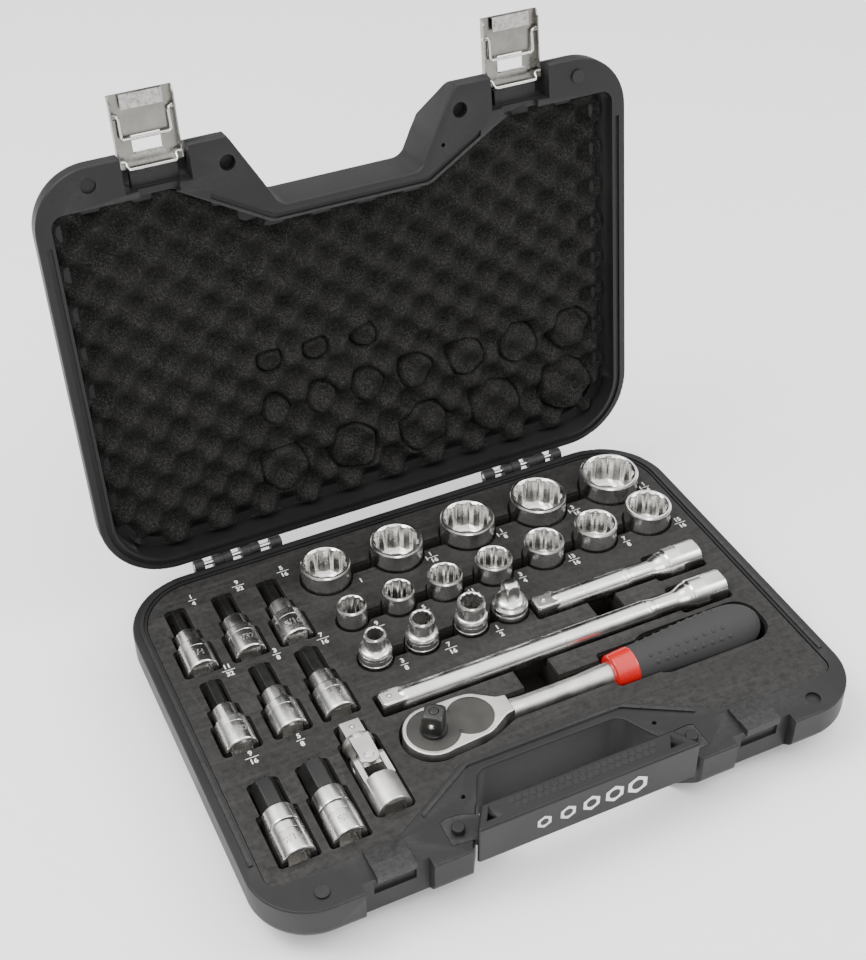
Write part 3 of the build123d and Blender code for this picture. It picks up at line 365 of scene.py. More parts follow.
@dataclass(frozen=True)
class Ring:
    """One ring of a loft: half its size across flats, at a place along the axis.

    limit is a circle that clips its corners, core is a circle that it never goes inside, knurl is how far
    every other point is raised, and finish is the number of the finish of the faces between two such rings.
    """

    along: float
    size: float
    sides: Sides = Sides.ROUND
    limit: float = 0.0
    core: float = 0.0
    knurl: float = 0.0
    finish: int = 0

    def radius(self, angle: float, raised: bool) -> float:
        """The ring's radius at an angle.

        Args:
            angle: in radians, from a flat's middle.
            raised: whether a knurl stands out here.

        Returns:
            The radius in metres.
        """
        reach = self.size
        if self.sides is not Sides.ROUND:
            flats = min(self.sides.value, 6)
            sector = math.tau / flats
            turns = (0.0, sector / 2) if self.sides is Sides.TWELVE_POINT else (0.0,)
            reach = max(self.size / math.cos((angle + turn + sector / 2) % sector - sector / 2) for turn in turns)
        if self.limit:
            reach = min(reach, self.limit)
        return max(reach, self.core) + (self.knurl if raised else 0.0)


def square(along: float, size: float, limit: float = 0.0, finish: int = 0) -> Ring:
    """A square ring, with its corners clipped by a circle."""
    return Ring(along, size, Sides.SQUARE, limit=limit, finish=finish)


def hexagon(along: float, size: float, limit: float = 0.0) -> Ring:
    """A hexagon ring, with its corners clipped by a circle."""
    return Ring(along, size, Sides.HEXAGON, limit=limit)


def turned(points: Sequence[Point], soft: float = 0.4 * MM, steps: int = 4, finish: int = 0) -> list[Ring]:
    """Round rings along a turned profile, with its corners rounded.

    Args:
        points: the profile as (along, radius).
        soft: how far from a corner its rounding starts.
        steps: how many pieces each rounding has.
        finish: the number of the rings' finish.

    Returns:
        The rings in order.
    """
    spots = [Vector(point) for point in points]
    rings = [Ring(*spots[0], finish=finish)]
    for before, here, after in zip(spots, spots[1:], spots[2:]):
        start = here + (before - here) * min(0.5, soft / max((before - here).length, 1e-9))
        end = here + (after - here) * min(0.5, soft / max((after - here).length, 1e-9))
        for step in range(steps + 1):
            t = step / steps
            spot = start * (1 - t) ** 2 + here * 2 * t * (1 - t) + end * t * t
            rings.append(Ring(*spot, finish=finish))
    rings.append(Ring(*spots[-1], finish=finish))
    return rings


def shown(name: str, data: bpy.types.ID) -> bpy.types.Object:
    """A new object of this data, linked to the scene."""
    made = bpy.data.objects.new(name, data)
    bpy.context.scene.collection.objects.link(made)
    return made


def new_piece(name: str, verts: Iterable, faces: Iterable, marks: Sequence[int] = ()) -> bpy.types.Object:
    """Makes an object from points and faces, with its normals outward.

    Args:
        name: the piece's name.
        verts: its points.
        faces: its faces.
        marks: the finish number of each face, or nothing.

    Returns:
        The new object, in the scene.
    """
    mesh = bpy.data.meshes.new(name)
    mesh.from_pydata([tuple(v) for v in verts], [], [tuple(f) for f in faces])
    if marks:
        mesh.polygons.foreach_set("material_index", list(marks))
    work = bmesh.new()
    work.from_mesh(mesh)
    bmesh.ops.recalc_face_normals(work, faces=work.faces)
    work.to_mesh(mesh)
    work.free()
    return shown(name, mesh)


def loft(name: str, rings: Sequence[Ring], place: Matrix, closed: bool = False,
         count: int = SEGMENTS) -> bpy.types.Object:
    """Skins a row of rings.

    Args:
        name: the piece's name.
        rings: the rings in order.
        place: puts the rings' own Z axis in the set's frame.
        closed: whether the last ring joins the first, as in a tube.
        count: how many points each ring has.

    Returns:
        The new object.
    """
    verts, faces, marks = [], [], []
    for row, ring in enumerate(rings):
        for step in range(count):
            angle = math.tau * step / count
            reach = ring.radius(angle, (row + step) % 2 == 1)
            verts.append(place @ Vector((reach * math.cos(angle), reach * math.sin(angle), ring.along)))
    for row in range(len(rings) if closed else len(rings) - 1):
        other = (row + 1) % len(rings)
        for step in range(count):
            near = (step + 1) % count
            faces.append((row * count + step, row * count + near, other * count + near, other * count + step))
            marks.append(rings[row].finish if rings[row].finish == rings[other].finish else 0)
    if not closed:
        faces.append(range(count))
        faces.append(range((len(rings) - 1) * count, len(rings) * count))
        marks += [rings[0].finish, rings[-1].finish]
    return new_piece(name, verts, faces, marks)


def standing(x: float, y: float) -> Matrix:
    """Stands a loft up at (x, y)."""
    return Matrix.Translation((x, y, 0.0))


def lying_back(x: float, z: float) -> Matrix:
    """Lays a loft along +Y at (x, z)."""
    return Matrix(((1, 0, 0, x), (0, 0, 1, 0), (0, -1, 0, z), (0, 0, 0, 1)))


def lying_right(y: float, z: float) -> Matrix:
    """Lays a loft along +X at (y, z)."""
    return Matrix(((0, 0, 1, 0), (1, 0, 0, y), (0, 1, 0, z), (0, 0, 0, 1)))


def settle(piece: bpy.types.Object) -> bpy.types.Object:
    """Applies a piece's modifiers to its mesh."""
    bpy.context.view_layer.update()
    graph = bpy.context.evaluated_depsgraph_get()
    made = bpy.data.meshes.new_from_object(piece.evaluated_get(graph))
    piece.modifiers.clear()
    piece.data = made
    return piece


def combine(piece: bpy.types.Object, tools: Iterable[bpy.types.Object], operation: str) -> bpy.types.Object:
    """Joins tools to a piece, or cuts them from it, and removes them.

    Args:
        piece: the piece that is kept.
        tools: the pieces used up.
        operation: UNION, DIFFERENCE or INTERSECT.

    Returns:
        The piece.
    """
    tools = list(tools)
    for tool in tools:
        change = piece.modifiers.new("combine", "BOOLEAN")
        change.operation = operation
        change.solver = "EXACT"
        change.object = tool
    settle(piece)
    for tool in tools:
        bpy.data.objects.remove(tool)
    return piece


def folded_spots(work: bmesh.types.BMesh) -> list[Vector]:
    """The points of the faces that fold over themselves or over a neighbour."""
    areas = [0.0] * len(work.faces)
    work.faces.index_update()
    for loops in work.calc_loop_triangles():
        one, two, three = (loop.vert.co for loop in loops)
        areas[loops[0].face.index] += (two - one).cross(three - one).length / 2
    wrong = [face for face in work.faces if abs(face.calc_area() - areas[face.index]) > 2e-9]
    wrong += [face for edge in work.edges if edge.is_manifold and edge.calc_face_angle(0.0) > FOLDED
              for face in edge.link_faces if len(face.verts) < 12]
    return [vert.co.copy() for face in wrong for vert in face.verts]


def soften(piece: bpy.types.Object, width: float, steps: int = 2) -> bpy.types.Object:
    """Rounds a piece's sharp edges, and leaves sharp any edge whose rounding would fold.

    Args:
        piece: the piece.
        width: the rounding's width.
        steps: its number of segments.

    Returns:
        The piece.
    """
    left_sharp: set[int] = set()
    source = piece.data
    for _ in range(6):
        work = bmesh.new()
        work.from_mesh(source)
        spots = KDTree(len(work.verts))
        for vert in work.verts:
            spots.insert(vert.co, vert.index)
        spots.balance()
        reach = [[edge.index for edge in vert.link_edges] for vert in work.verts]
        sharp = [edge for edge in work.edges if edge.index not in left_sharp and edge.is_manifold
                 and edge.calc_face_angle(0.0) > SHARP]
        bmesh.ops.bevel(work, geom=sharp, offset=width, offset_type="OFFSET", segments=steps, profile=0.5,
                        affect="EDGES", clamp_overlap=False)
        work.normal_update()
        made = bpy.data.meshes.new(piece.name)
        work.to_mesh(made)
        before = len(left_sharp)
        for spot in folded_spots(work):
            near = spots.find_range(spot, 2 * width) or [spots.find(spot)]
            for _, index, _ in near:
                left_sharp.update(reach[index])
        work.free()
        piece.data = made
        if len(left_sharp) == before:
            break
    LOG.info("%s: %d edges left sharp", piece.name, len(left_sharp))
    return piece


def refined(node: str, width: float, steps: int = 2) -> bpy.types.Object:
    """A finished copy of a frame node, with its faces merged and its edges rounded.

    Args:
        node: the node's name.
        width: the rounding's width, or 0 for none.
        steps: the rounding's number of segments.

    Returns:
        The copy.
    """
    work = bmesh.new()
    work.from_mesh(frame["nodes"][node].data)
    bmesh.ops.remove_doubles(work, verts=work.verts, dist=0.002 * MM)
    bmesh.ops.dissolve_limit(work, angle_limit=math.radians(0.15), verts=work.verts, edges=work.edges)
    mesh = bpy.data.meshes.new(node + "_body")
    work.to_mesh(mesh)
    work.free()
    piece = shown(node + "_body", mesh)
    return soften(piece, width, steps) if width else piece


def rounded_outline(corners: Sequence[Place], steps: int = 8) -> list[Vector]:
    """A closed outline with rounded corners.

    Args:
        corners: each corner as (x, y, rounding radius).
        steps: how many pieces each rounding has.

    Returns:
        The outline's points in order.
    """
    points = []
    for index, (x, y, radius) in enumerate(corners):
        here = Vector((x, y))
        before = Vector(corners[index - 1][:2]) - here
        after = Vector(corners[(index + 1) % len(corners)][:2]) - here
        if radius <= 0:
            points.append(here)
            continue
        half = before.angle(after) / 2
        reach = min(radius / math.tan(half), before.length * 0.49, after.length * 0.49)
        start, end = here + before.normalized() * reach, here + after.normalized() * reach
        weight = math.sin(half)
        for step in range(steps + 1):
            t = step / steps
            share = (1 - t) ** 2 + 2 * weight * t * (1 - t) + t * t
            spot = start * (1 - t) ** 2 + here * 2 * weight * t * (1 - t) + end * t * t
            points.append(spot / share)
    return points


def drawn_in(outline: Sequence[Vector], inset: float) -> list[Vector]:
    """An outline, anticlockwise, moved inward by an inset."""
    moved = []
    for index, here in enumerate(outline):
        ahead = (outline[(index + 1) % len(outline)] - here)
        behind = (here - outline[index - 1])
        if ahead.length < 1e-9 or behind.length < 1e-9:
            ahead = behind = ahead if ahead.length > behind.length else behind
        ahead, behind = ahead.normalized(), behind.normalized()
        normal = Vector((-(ahead.y + behind.y), ahead.x + behind.x))
        stretch = max(normal.length_squared / 2, 0.2)
        moved.append(here + normal * (inset / stretch))
    return moved


def slab(name: str, outline: Sequence[Vector], levels: Sequence[Point],
         place: Matrix = Matrix.Identity(4)) -> bpy.types.Object:
    """A flat piece with a shaped edge.

    Args:
        name: the piece's name.
        outline: its outline, anticlockwise.
        levels: the edge's shape from one face to the other, as (height, inset).
        place: puts it in the set's frame.

    Returns:
        The new object.
    """
    count = len(outline)
    verts, faces = [], []
    for height, inset in levels:
        verts += [place @ Vector((*spot, height)) for spot in drawn_in(outline, inset)]
    for row in range(len(levels) - 1):
        for step in range(count):
            near = (step + 1) % count
            faces.append((row * count + step, row * count + near, (row + 1) * count + near,
                          (row + 1) * count + step))
    faces.append(range(count))
    faces.append(range((len(levels) - 1) * count, len(levels) * count))
    return new_piece(name, verts, faces)


def eased(low: float, high: float, round_low: float, round_high: float, steps: int = 4) -> list[Point]:
    """The levels of a slab whose two edges are rounded."""
    levels = []
    for step in range(steps + 1):
        angle = math.pi / 2 * step / steps
        levels.append((low + round_low * (1 - math.cos(angle)), round_low * (1 - math.sin(angle))))
    for step in range(steps + 1):
        angle = math.pi / 2 * step / steps
        levels.append((high - round_high * (1 - math.sin(angle)), round_high * (1 - math.cos(angle))))
    return levels


def figures(name: str, text: str, height: float, depth: float) -> bpy.types.Object:
    """Raised figures in the plain built-in face.

    Args:
        name: the piece's name.
        text: the figures.
        height: the height of a figure.
        depth: how thick they are.

    Returns:
        A mesh object centred on the origin, reading along +X.
    """
    face = bpy.data.curves.new(name, "FONT")
    face.body = text
    face.size = height / 0.72
    face.extrude = depth / 2
    face.offset = height * 0.045
    face.align_x = "CENTER"
    face.align_y = "CENTER"
    face.resolution_u = 4
    rough = shown(name + "_face", face)
    bpy.context.view_layer.update()
    mesh = bpy.data.meshes.new_from_object(rough.evaluated_get(bpy.context.evaluated_depsgraph_get()))
    bpy.data.objects.remove(rough)
    return shown(name, mesh)


def merge(name: str, pieces: Sequence[bpy.types.Object]) -> bpy.types.Object:
    """Puts several pieces in one object.

    Args:
        name: the joined piece's name.
        pieces: the pieces, which are used up.

    Returns:
        The new object.
    """
    work = bmesh.new()
    for piece in pieces:
        mesh = piece.data.copy()
        mesh.transform(piece.matrix_world)
        work.from_mesh(mesh)
    mesh = bpy.data.meshes.new(name)
    work.to_mesh(mesh)
    work.free()
    for piece in pieces:
        bpy.data.objects.remove(piece)
    return shown(name, mesh)


def dress(piece: bpy.types.Object, body: str, *finishes: Finish, smooth: float = SMOOTH,
          flat: bool = False) -> None:
    """Gives a piece its finishes and its body.

    Args:
        piece: the piece.
        body: the body that it moves with.
        finishes: the finishes of its faces, by their numbers.
        smooth: edges sharper than this many degrees stay sharp.
        flat: whether its wide faces keep their own normals.
    """
    piece.data.materials.clear()
    for finish in finishes:
        piece.data.materials.append(finish.material())
    piece.data.polygons.foreach_set("use_smooth", [True] * len(piece.data.polygons))
    piece.data.set_sharp_from_angle(angle=math.radians(smooth))
    if flat:
        change = piece.modifiers.new("wide_faces", "WEIGHTED_NORMAL")
        change.keep_sharp = True
        change.weight = 100
        settle(piece)
    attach(piece, body)
    LOG.info("%s on %s: %d faces", piece.name, body, len(piece.data.polygons))


def stand_in(piece: bpy.types.Object, node: str, *finishes: Finish, smooth: float = SMOOTH,
             flat: bool = False) -> None:
    """Lets a piece stand for a frame node, on that node's body, and dresses it."""
    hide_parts(node)
    dress(piece, body_of(node), *finishes, smooth=smooth, flat=flat)


def paint_node(node: str, finish: Finish) -> None:
    """Gives a frame node that shows as it is its finish."""
    kept = frame["nodes"][node]
    if kept.material_slots:
        kept.material_slots[0].material = finish.material()
    else:
        kept.data.materials.append(finish.material())


def middle(node: str) -> tuple[Vector, Vector]:
    """The middle of a node's box, and half its size."""
    low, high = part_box(node)
    return (low + high) / 2, (high - low) / 2


def body_of(node: str) -> str:
    """The body that a node belongs to."""
    for body, nodes in frame["record"]["behaviour"]["bodies"].items():
        if node in nodes:
            return body
    return "case"


def size_of(node: str) -> Fraction:
    """The inch size in a node's name, such as 1 1/16 for socket_1_1_16_inch."""
    numbers = [int(word) for word in node.split("_") if word.isdigit()]
    whole = numbers.pop(0) if len(numbers) in (1, 3) else 0
    return whole + (Fraction(*numbers) if numbers else Fraction(0))


# ---------------------------------------------------------------- tools
@dataclass
class SocketRow:
    """The twelve-point sockets, standing with their mouths up."""

    lead_in: float = 1.5 * MM
    clearance: float = 0.12 * MM
    tall_wall: float = 1.87 * MM
    square: float = 6.5 * MM
    knurl: float = 0.16 * MM
    base_top: float = 48.0 * MM

    def mouth(self, top: float, floor: float, flat: float, head: float) -> list[Ring]:
        """The rings from the rim down the broached mouth to the drive hole."""
        point = flat / HEX_FLAT
        valley = point - 0.25 * MM
        lead_in = self.lead_in * min(1.0, flat / (12 * MM))
        lip = min(point + 0.35 * MM, head - 0.8 * MM)

        def star(along: float, core: float = 0.0) -> Ring:
            """A twelve-point ring of the mouth."""
            return Ring(along, flat, Sides.TWELVE_POINT, limit=valley, core=core, finish=1)

        rings = [Ring(top, lip), Ring(top - 0.12 * MM, lip - 0.1 * MM, finish=1)]
        rings += [star(top - lead_in * share, lip - (lip - flat) * share) for share in (0.35, 0.7, 1.0)]
        drop = floor + 1.2 * MM
        rings += [star(top - lead_in - (top - lead_in - drop) * share) for share in (0.08, 0.35, 0.65, 0.92)]
        shelf = max(flat * 0.74, self.square * 1.08)
        rings += [star(drop), Ring(drop - 0.5 * MM, shelf + (flat - shelf) * 0.3, finish=1),
                  Ring(floor, shelf, finish=1), Ring(floor - 0.3 * MM, shelf - 0.25 * MM, finish=1),
                  Ring(floor - 2.6 * MM, shelf - 0.3 * MM, finish=1)]
        corner = min(self.square * SQUARE_CORNER, shelf - 0.3 * MM)
        return rings + [square(floor - 3.2 * MM, self.square, corner, finish=1)]

    def long_wall(self, low: float, top: float, wide: float, head: float) -> list[Ring]:
        """The outside of a long socket: a wide foot with a knurled band, then a shoulder and a thin head."""
        band = self.base_top - 6.2 * MM
        outer = turned([(low, wide - 1.4 * MM), (low, wide - 0.2 * MM), (low + 1.2 * MM, wide),
                        (band - 1.0 * MM, wide), (band - 0.6 * MM, wide - 0.35 * MM)], 0.35 * MM)
        outer += [Ring(band + step * 0.42 * MM, wide - 0.25 * MM, knurl=self.knurl, finish=2) for step in range(9)]
        shoulder = self.base_top - 2.4 * MM
        outer += turned([(shoulder, wide - 0.35 * MM), (shoulder + 0.3 * MM, wide - 0.02 * MM),
                         (shoulder + 1.0 * MM, wide - 0.02 * MM)], 0.2 * MM)
        rise = 5.2 * MM
        for step in range(1, 11):
            angle = math.pi / 2 * step / 10
            outer.append(Ring(shoulder + 1.0 * MM + rise * math.sin(angle) * 0.72,
                              head + (wide - 0.02 * MM - head) * math.cos(angle) ** 0.9))
        return outer + turned([(shoulder + 5.3 * MM, head + 0.02 * MM), (top - 1.0 * MM, head),
                               (top, head - 0.75 * MM)], 0.3 * MM)

    def short_wall(self, low: float, top: float, head: float) -> list[Ring]:
        """The outside of a short socket: a drive end, a cone and the head."""
        drive = max(head - 1.5 * MM, 9.5 * MM)
        return turned([(low, drive - 1.5 * MM), (low, drive - 0.6 * MM), (low + 0.9 * MM, drive),
                       (low + 13 * MM, drive), (low + 15 * MM, head), (top - 1.15 * MM, head),
                       (top - 0.05 * MM, head - 0.85 * MM)], 0.4 * MM)

    def build(self, node: str) -> None:
        """Makes one socket, which stands for the frame node."""
        centre, half = middle(node)
        low, top = centre.z - half.z, centre.z + half.z
        flat = float(size_of(node)) * INCH / 2 + self.clearance
        corner = self.square * SQUARE_CORNER
        rings = [square(low + 14 * MM, self.square, corner), square(low + 0.7 * MM, self.square, corner),
                 square(low, self.square + 0.7 * MM, corner + 0.6 * MM)]
        if top > LONG_TOP:
            head = flat / HEX_FLAT + self.tall_wall - self.clearance
            rings += self.long_wall(low, top, half.x, head)
        else:
            head = half.x
            rings += self.short_wall(low, top, head)
        rings += self.mouth(top, top - (top - low) * 0.52, flat, head)
        stand_in(loft(node + "_body", rings, standing(centre.x, centre.y), closed=True), node, CHROME, BORE, KNURL)


@dataclass
class DriveAdapter:
    """The adapter that stands with its small square up."""

    square: float = 4.76 * MM
    hole: float = 6.5 * MM

    def build(self) -> None:
        """Makes the adapter."""
        centre, half = middle("drive_adapter")
        low, top, wide = centre.z - half.z, centre.z + half.z, half.x
        rings = [square(low + 15 * MM, self.hole), square(low + 0.6 * MM, self.hole),
                 square(low, self.hole + 0.6 * MM, 9.6 * MM)]
        rings += turned([(low, wide - 1.5 * MM), (low, wide - 0.5 * MM), (low + 0.8 * MM, wide),
                         (top - 21.6 * MM, wide), (top - 20.8 * MM, wide - 0.5 * MM),
                         (top - 20.2 * MM, wide - 0.5 * MM), (top - 19.6 * MM, wide),
                         (top - 17.4 * MM, wide), (top - 15.6 * MM, wide - 1.6 * MM)], 0.4 * MM)
        for step in range(1, 9):
            angle = math.pi / 2 * step / 8
            rings.append(Ring(top - 15.6 * MM + 4.6 * MM * math.sin(angle) * 0.8,
                              self.square + (wide - 1.6 * MM - self.square) * math.cos(angle)))
        reach = self.square * SQUARE_CORNER
        rings += [square(top - 11.7 * MM, self.square, reach), square(top - 2.6 * MM, self.square, reach),
                  square(top - 1.7 * MM, self.square, reach - 0.5 * MM),
                  square(top - 0.8 * MM, self.square, reach - 1.1 * MM),
                  square(top - 0.25 * MM, self.square, self.square - 0.05 * MM), Ring(top, self.square - 0.5 * MM)]
        stand_in(loft("drive_adapter_body", rings, standing(centre.x, centre.y)), "drive_adapter", CHROME)


@dataclass
class BitSocket:
    """A black hexagon bit in its plated holder, lying in the tray."""

    size: str
    hole: float = 6.5 * MM
    hole_corner: float = 8.9 * MM
    neck: float = 13.0 * MM
    band: float = 5.6 * MM
    knurl: float = 0.14 * MM

    def bit(self) -> None:
        """Makes the bit."""
        node = "hex_bit_" + self.size
        centre, half = middle(node)
        low, tip = centre.y - half.y, centre.y + half.y
        flat = float(size_of("bit_" + self.size)) * INCH / 2
        point = flat / HEX_FLAT
        rings = [hexagon(along, flat, point * 0.985)
                 for along in (low, *(tip - drop * MM for drop in (14.0, 6.0, 1.8)))]
        rings += [hexagon(tip - 1.0 * MM, flat, point * 0.95), hexagon(tip - 0.4 * MM, flat, flat),
                  Ring(tip - 0.08 * MM, flat - 0.35 * MM), Ring(tip, flat - 0.6 * MM)]
        turn = Matrix.Rotation(math.pi / 2, 4, "Z")
        stand_in(loft(node + "_body", rings, lying_back(centre.x, centre.z) @ turn), node, BIT_STEEL)

    def holder(self) -> None:
        """Makes the holder, with its knurled band and etched size."""
        node = "bit_holder_" + self.size
        centre, half = middle(node)
        end, start, wide = centre.y - half.y, centre.y + half.y, half.x
        bit_wide = middle("hex_bit_" + self.size)[1].x
        neck_r = max(bit_wide + 1.6 * MM, 7.8 * MM) if wide < 10.9 * MM else wide - 0.6 * MM
        step = start - self.neck
        rings = [square(end + 14.5 * MM, self.hole, self.hole_corner, finish=1),
                 square(end + 0.7 * MM, self.hole, self.hole_corner, finish=1),
                 square(end + 0.05 * MM, self.hole + 0.7 * MM, 9.3 * MM, finish=1)]
        body = turned([(end, wide - 1.2 * MM), (end, wide - 0.7 * MM), (end + 0.8 * MM, wide - 0.02 * MM),
                       (step - 1.4 * MM - self.band, wide - 0.02 * MM),
                       (step - 1.1 * MM - self.band, wide - 0.4 * MM)], 0.35 * MM)
        body += [Ring(step - 0.9 * MM - self.band + index * 0.45 * MM, wide - 0.3 * MM, knurl=self.knurl, finish=2)
                 for index in range(12)]
        body += turned([(step - 0.5 * MM, wide - 0.3 * MM), (step + 0.6 * MM, neck_r - 0.25 * MM),
                        (step + 1.2 * MM, neck_r), (start - 0.9 * MM, neck_r), (start, neck_r - 0.8 * MM),
                        (start, bit_wide + 0.25 * MM), (start - 2.5 * MM, bit_wide + 0.15 * MM)], 0.35 * MM)
        piece = loft(node + "_body", rings + body, lying_back(centre.x, centre.z))
        # The square drive hole gets the bore painted near black as painted shade.
        stand_in(piece, node, CHROME, SHADE_PAINTED_BORE, KNURL)
        self.etched(node, centre.x, (end + step - self.band) / 2, centre.z, wide)

    def etched(self, node: str, x: float, y: float, z: float, radius: float) -> None:
        """Bends the size's figures round the holder."""
        text = figures(node + "_size", self.size.replace("_", "/"), 4.6 * MM, 0.1 * MM)
        for spot in text.data.vertices:
            lift = radius + 0.005 * MM + spot.co.z * 0.3
            angle = spot.co.x / radius
            spot.co = Vector((x + lift * math.sin(angle), y + spot.co.y, z + lift * math.cos(angle)))
        dress(text, body_of(node), STAMP)

    def build(self) -> None:
        """Makes the bit and its holder."""
        self.bit()
        self.holder()


@dataclass
class ExtensionBar:
    """An extension bar: a square tip with a detent ball, a rod, and a socket end with four flats."""

    node: str
    knurl_length: float
    square: float = 6.35 * MM
    corner: float = 1.34
    hole: float = 6.5 * MM
    hole_corner: float = 8.9 * MM
    rod: float = 7.5 * MM
    waist: float = 6.6 * MM
    tip: float = 17.0 * MM
    end: float = 25.0 * MM
    pitch: float = 0.62 * MM

    def square_tip(self, x0: float) -> list[Ring]:
        """The square, and its run out into the rod."""
        reach = self.square * self.corner
        rings = [square(x0, self.square - 1.3 * MM, self.square),
                 square(x0 + 0.25 * MM, self.square - 0.9 * MM, self.square * 1.08),
                 square(x0 + 1.0 * MM, self.square, reach - 0.75 * MM), square(x0 + 1.8 * MM, self.square, reach)]
        for step in range(17):
            share = step / 16
            core = self.square - 1.2 * MM + (self.rod - self.square + 1.2 * MM) * math.sin(share * math.pi / 2)
            limit = max(reach - (reach - self.rod) * max(0.0, share * 1.6 - 0.6), self.rod)
            rings.append(Ring(x0 + self.tip - 6.5 * MM + 6.5 * MM * share, self.square, Sides.SQUARE,
                              limit=limit, core=core))
        return rings + [Ring(x0 + self.tip + 0.3 * MM, self.rod)]

    def knurled_rod(self, x0: float, neck: float) -> list[Ring]:
        """The rod, its knurled band and its waist."""
        start = neck - 34 * MM - self.knurl_length
        rings = turned([(x0 + self.tip + 1 * MM, self.rod), (start - 0.6 * MM, self.rod),
                        (start - 0.2 * MM, self.rod - 0.22 * MM)], 0.2 * MM)
        rings += [Ring(start + index * self.pitch, self.rod - 0.18 * MM, knurl=0.16 * MM, finish=2)
                  for index in range(int(self.knurl_length / self.pitch))]
        return rings + turned([(neck - 34 * MM, self.rod - 0.2 * MM), (neck - 33.6 * MM, self.rod - 0.02 * MM),
                               (neck - 31 * MM, self.rod - 0.02 * MM), (neck - 27 * MM, self.waist),
                               (neck - 13 * MM, self.waist)], 1.2 * MM)

    def socket_end(self, x1: float, neck: float, wide: float) -> list[Ring]:
        """The flare, the end with its four flats, and the square hole in it."""
        rings = []
        for step in range(1, 11):
            share = step / 10
            rise = (1 - math.cos(share * math.pi)) / 2
            rings.append(Ring(neck - 13 * MM + 11.4 * MM * share,
                              self.waist + (wide - 1.1 * MM - self.waist) * rise))
        rings += turned([(neck - 1.4 * MM, wide - 1.0 * MM), (neck - 0.2 * MM, wide - 0.05 * MM),
                         (neck + 9.2 * MM, wide - 0.02 * MM)], 0.25 * MM)
        flat, full = wide - 1.25 * MM, wide - 0.02 * MM
        return rings + [Ring(neck + 9.6 * MM, full), square(neck + 9.75 * MM, flat, full),
                        square(x1 - 1.1 * MM, flat, full), square(x1 - 0.5 * MM, flat - 0.1 * MM, wide - 0.4 * MM),
                        square(x1 - 0.05 * MM, flat - 0.5 * MM, wide - 1.0 * MM),
                        square(x1, self.hole + 0.7 * MM, 9.2 * MM),
                        square(x1 - 0.8 * MM, self.hole, self.hole_corner, finish=1),
                        square(x1 - 14.5 * MM, self.hole, self.hole_corner, finish=1)]

    def build(self) -> None:
        """Makes the bar and its ball."""
        centre, half = middle(self.node)
        x0, x1 = centre.x - half.x, centre.x + half.x
        neck = x1 - self.end
        rings = self.square_tip(x0) + self.knurled_rod(x0, neck) + self.socket_end(x1, neck, half.y)
        # The square hole at the socket end gets the bore painted near black as painted shade.
        stand_in(loft(self.node + "_body", rings, lying_right(centre.y, centre.z)), self.node,
                 CHROME, SHADE_PAINTED_BORE, KNURL)
        detent_ball(self.node, Vector((x0 + 6.2 * MM, centre.y, centre.z + self.square)), UP)


def detent_ball(node: str, place: Vector, out: Vector, radius: float = 1.55 * MM) -> None:
    """A sprung ball in its staked seat on a square's face.

    Args:
        node: the node that the square belongs to.
        place: the seat's middle, on the face.
        out: the way that the ball looks.
        radius: the ball's radius.
    """
    facing = Matrix.Translation(place) @ out.to_track_quat("Z", "Y").to_matrix().to_4x4()
    seat = turned([(-0.6 * MM, radius * 1.32), (0.02 * MM, radius * 1.3), (0.1 * MM, radius * 1.15),
                   (-0.35 * MM, radius * 0.98), (-0.6 * MM, radius * 0.9)], 0.08 * MM)
    dress(loft(node + "_ball_seat", seat, facing, count=48), body_of(node), SEAT)
    angles = [math.pi * step / 14 for step in range(15)]
    ball = [Ring(radius * 0.55 - radius * math.cos(angle) - radius * 0.62, max(radius * math.sin(angle), 1e-5))
            for angle in angles]
    dress(loft(node + "_ball", ball, facing, count=32), body_of(node), BALL)


@dataclass
class UniversalJoint:
    """The universal joint: two yokes at right angles on a cross block."""

    square: float = 6.35 * MM
    ball_from_tip: float = 6.2 * MM

    def build(self) -> None:
        """Makes the yokes and the cross."""
        for node, width, finish in (("joint_socket_yoke", 0.45 * MM, MATT_CHROME),
                                    ("joint_square_yoke", 0.45 * MM, MATT_CHROME),
                                    ("joint_cross", 0.3 * MM, CHROME)):
            stand_in(refined(node, width, steps=3), node, finish, flat=True)
        centre, half = middle("joint_square_yoke")
        seat = Vector((centre.x, centre.y + half.y - self.ball_from_tip, centre.z + self.square))
        detent_ball("joint_square_yoke", seat, UP)


